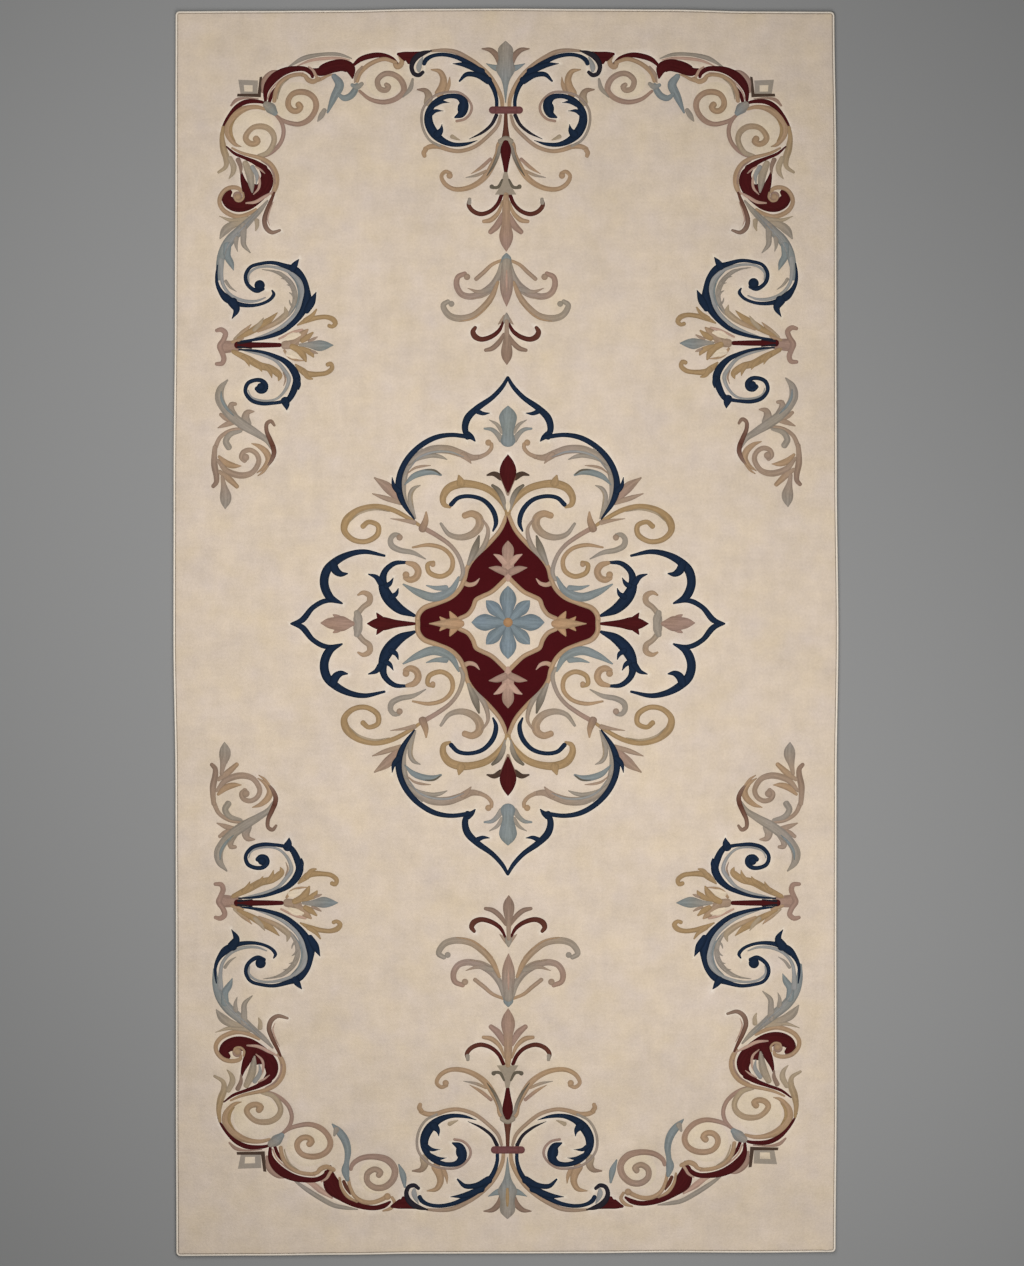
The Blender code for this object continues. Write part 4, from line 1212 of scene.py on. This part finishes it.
class Socket:
    """An output in a material's node tree that can be summed and multiplied like a number."""

    def __init__(self, tree, output):
        self.tree = tree
        self.output = output

    def node(self, kind, settings, inputs, output=0):
        """Adds any node: its type, its settings, and what each of its inputs is fed."""
        made = self.tree.nodes.new(kind)
        for name, value in settings.items():
            setattr(made, name, value)
        for name, fed in inputs.items():
            if isinstance(fed, Socket):
                self.tree.links.new(fed.output, made.inputs[name])
            else:
                made.inputs[name].default_value = fed
        return Socket(self.tree, made.outputs[output])

    def math(self, operation, first, second):
        return self.node("ShaderNodeMath", {"operation": operation}, {0: first, 1: second})

    def __add__(self, other):
        return self.math("ADD", self, other)

    def __radd__(self, other):
        return self.math("ADD", other, self)

    def __sub__(self, other):
        return self.math("SUBTRACT", self, other)

    def __rsub__(self, other):
        return self.math("SUBTRACT", other, self)

    def __mul__(self, other):
        return self.math("MULTIPLY", self, other)

    def __rmul__(self, other):
        return self.math("MULTIPLY", other, self)

    def stretched(self, x, y, z):
        """A place multiplied by its own number along each axis."""
        return self.node("ShaderNodeVectorMath", {"operation": "MULTIPLY"}, {0: self, 1: (x, y, z)})

    def noise(self, scale, detail=2.0, roughness=0.5):
        """Soft noise at this place, from 0 to 1."""
        return self.node(
            "ShaderNodeTexNoise",
            {"noise_dimensions": "3D"},
            {"Vector": self, "Scale": scale, "Detail": detail, "Roughness": roughness},
        )

    def tinted(self, amount):
        """A colour made lighter or darker by an amount near 1."""
        return self.node("ShaderNodeVectorMath", {"operation": "SCALE"}, {"Vector": self, "Scale": amount})


def new_material(name):
    """A material, its shader and the place of each point on the object."""
    material = bpy.data.materials.new(name)
    material.use_nodes = True
    tree = material.node_tree
    shader = tree.nodes["Principled BSDF"]
    place = Socket(tree, tree.nodes.new("ShaderNodeTexCoord").outputs["Object"])
    return material, shader, place


def finish_wool(shader, place, colour, height, distance, roughness):
    """Feeds a shader a colour and a bump, with the dry finish of wool."""
    bump = place.node("ShaderNodeBump", {}, {"Strength": 1.0, "Distance": distance, "Height": height})
    tree = place.tree
    tree.links.new(colour.output, shader.inputs["Base Color"])
    tree.links.new(bump.output, shader.inputs["Normal"])
    shader.inputs["Roughness"].default_value = roughness
    shader.inputs["Specular IOR Level"].default_value = 0.06


def pile_material():
    """Cut wool pile: the yarn's own colour, mottled, with rows and streaks of uneven dye and small tufts."""
    material, shader, place = new_material("cut_wool_pile")
    yarn = place.node("ShaderNodeAttribute", {"attribute_name": "yarn"}, {}, output="Color")
    clouds = place.noise(7.0, 3.0) - 0.5
    patches = place.noise(24.0, 3.0) - 0.5
    level_rows = place.stretched(12.0, 62.0, 1.0).noise(1.0, 3.0) - 0.5
    upright_rows = place.stretched(54.0, 14.0, 1.0).noise(1.0, 3.0) - 0.5
    speckle = place.noise(170.0, 2.0) - 0.5
    fibres = place.noise(620.0, 2.0) - 0.5
    tone = 1.0 + clouds * 0.19 + patches * 0.20 + level_rows * 0.11 + upright_rows * 0.11
    tone = tone + speckle * 0.20 + fibres * 0.16
    lay = place.node("ShaderNodeAttribute", {"attribute_name": "lay"}, {}, output="Vector")
    shown = place.node("ShaderNodeSeparateXYZ", {}, {0: lay}, output=2)
    rows = lay.stretched(0.62, 0.05, 0.0).noise(1.0, 2.0, 0.6) - 0.5
    tone = tone + rows * shown * LAY_STRENGTH
    warm = place.stretched(1.0, 1.0, 7.0).noise(13.0, 3.0) - 0.5
    tint = place.node("ShaderNodeCombineXYZ", {}, {0: 1.0 + warm * 0.05, 1: 1.0, 2: 1.0 - warm * 0.26})
    yarn = place.node("ShaderNodeVectorMath", {"operation": "MULTIPLY"}, {0: yarn, 1: tint})
    tufts = place.node(
        "ShaderNodeTexVoronoi",
        {"feature": "SMOOTH_F1"},
        {"Vector": place, "Scale": 330.0, "Smoothness": 0.6},
        output="Distance",
    )
    height = 0.6 * (1.0 - tufts) + place.noise(900.0, 2.0) * 0.4
    finish_wool(shader, place, yarn.tinted(tone), height, 0.0007, 0.95)
    return material


def whipping_material():
    """Whipping yarn: pale wool with fine fibres along each turn."""
    material, shader, place = new_material("whipping_wool")
    base = (*[linear(channel) for channel in (238, 228, 214)], 1.0)
    shade = (*[linear(channel) for channel in (220, 208, 192)], 1.0)
    mottle = place.noise(45.0, 3.0)
    colour = place.node(
        "ShaderNodeMix",
        {"data_type": "RGBA"},
        {0: mottle, 6: shade, 7: base},
        output=2,
    )
    fibres = place.noise(1400.0, 2.0)
    finish_wool(shader, place, colour.tinted(0.9 + fibres * 0.2), fibres, 0.0003, 0.92)
    return material


def backing_material():
    """Plain-woven cotton backing cloth."""
    material, shader, place = new_material("cotton_backing")
    base = (*[linear(channel) for channel in (196, 188, 172)], 1.0)
    shade = (*[linear(channel) for channel in (168, 160, 144)], 1.0)
    across = place.node(
        "ShaderNodeTexWave",
        {"wave_type": "BANDS", "bands_direction": "X"},
        {"Vector": place, "Scale": 190.0, "Distortion": 0.4, "Detail": 1.0},
        output="Fac",
    )
    along = place.node(
        "ShaderNodeTexWave",
        {"wave_type": "BANDS", "bands_direction": "Y"},
        {"Vector": place, "Scale": 190.0, "Distortion": 0.4, "Detail": 1.0},
        output="Fac",
    )
    weave = across * along
    colour = place.node("ShaderNodeMix", {"data_type": "RGBA"}, {0: weave, 6: shade, 7: base}, output=2)
    tone = 0.94 + place.noise(14.0, 3.0) * 0.12
    finish_wool(shader, place, colour.tinted(tone), weave, 0.0004, 0.9)
    return material


FLOOR_SIZE = 14.0
FLOOR_COLOUR = (0.262, 0.262, 0.260, 1.0)
CAMERA_HEIGHT = 14.0
VIEW_HEIGHT = 3.0425
VIEW_CENTRE = (0.0147, -0.0017)
SENSOR = 36.0


def make_stage():
    """A plain floor, soft light from above and the camera over the rug."""
    floor_mesh = bpy.data.meshes.new("floor")
    shape = bmesh.new()
    bmesh.ops.create_grid(shape, x_segments=1, y_segments=1, size=FLOOR_SIZE / 2)
    shape.to_mesh(floor_mesh)
    shape.free()
    floor = bpy.data.objects.new("floor", floor_mesh)
    bpy.context.collection.objects.link(floor)
    material = bpy.data.materials.new("floor_paint")
    material.use_nodes = True
    shader = material.node_tree.nodes["Principled BSDF"]
    shader.inputs["Base Color"].default_value = FLOOR_COLOUR
    shader.inputs["Roughness"].default_value = 0.9
    shader.inputs["Specular IOR Level"].default_value = 0.1
    floor_mesh.materials.append(material)

    camera_data = bpy.data.cameras.new("camera")
    camera_data.sensor_fit = "VERTICAL"
    camera_data.sensor_height = SENSOR
    camera_data.lens = SENSOR * (CAMERA_HEIGHT - THICKNESS) / VIEW_HEIGHT
    camera_data.clip_end = 60.0
    camera = bpy.data.objects.new("camera", camera_data)
    camera.location = (*VIEW_CENTRE, CAMERA_HEIGHT)
    bpy.context.collection.objects.link(camera)
    bpy.context.scene.camera = camera

    for name, place, size, power in (
        ("key_light", (-0.6, 0.9, 2.4), 2.0, 40.0),
        ("fill_light", (0.6, -0.9, 2.4), 2.0, 42.5),
    ):
        light_data = bpy.data.lights.new(name, "AREA")
        light_data.shape = "SQUARE"
        light_data.size = size
        light_data.energy = power
        light = bpy.data.objects.new(name, light_data)
        light.location = place
        light.rotation_euler = (-Vector(place)).to_track_quat("-Z", "Y").to_euler()
        bpy.context.collection.objects.link(light)

    world = bpy.data.worlds.new("even_light")
    world.use_nodes = True
    world.node_tree.nodes["Background"].inputs["Color"].default_value = (1.0, 1.0, 1.0, 1.0)
    world.node_tree.nodes["Background"].inputs["Strength"].default_value = 0.20
    bpy.context.scene.world = world
    bpy.context.scene.view_settings.view_transform = "Standard"


def main():
    wool = pile_material()
    pile = make_pile()
    for piece in pile:
        piece.data.materials.append(wool)
        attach(piece, "root")
    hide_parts("tufted_pile")
    edge = make_whipped_edge()
    edge.data.materials.append(whipping_material())
    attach(edge, "root")
    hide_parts("whipped_edge")
    backing = make_backing()
    backing.data.materials.append(backing_material())
    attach(backing, "root")
    make_stage()


main()
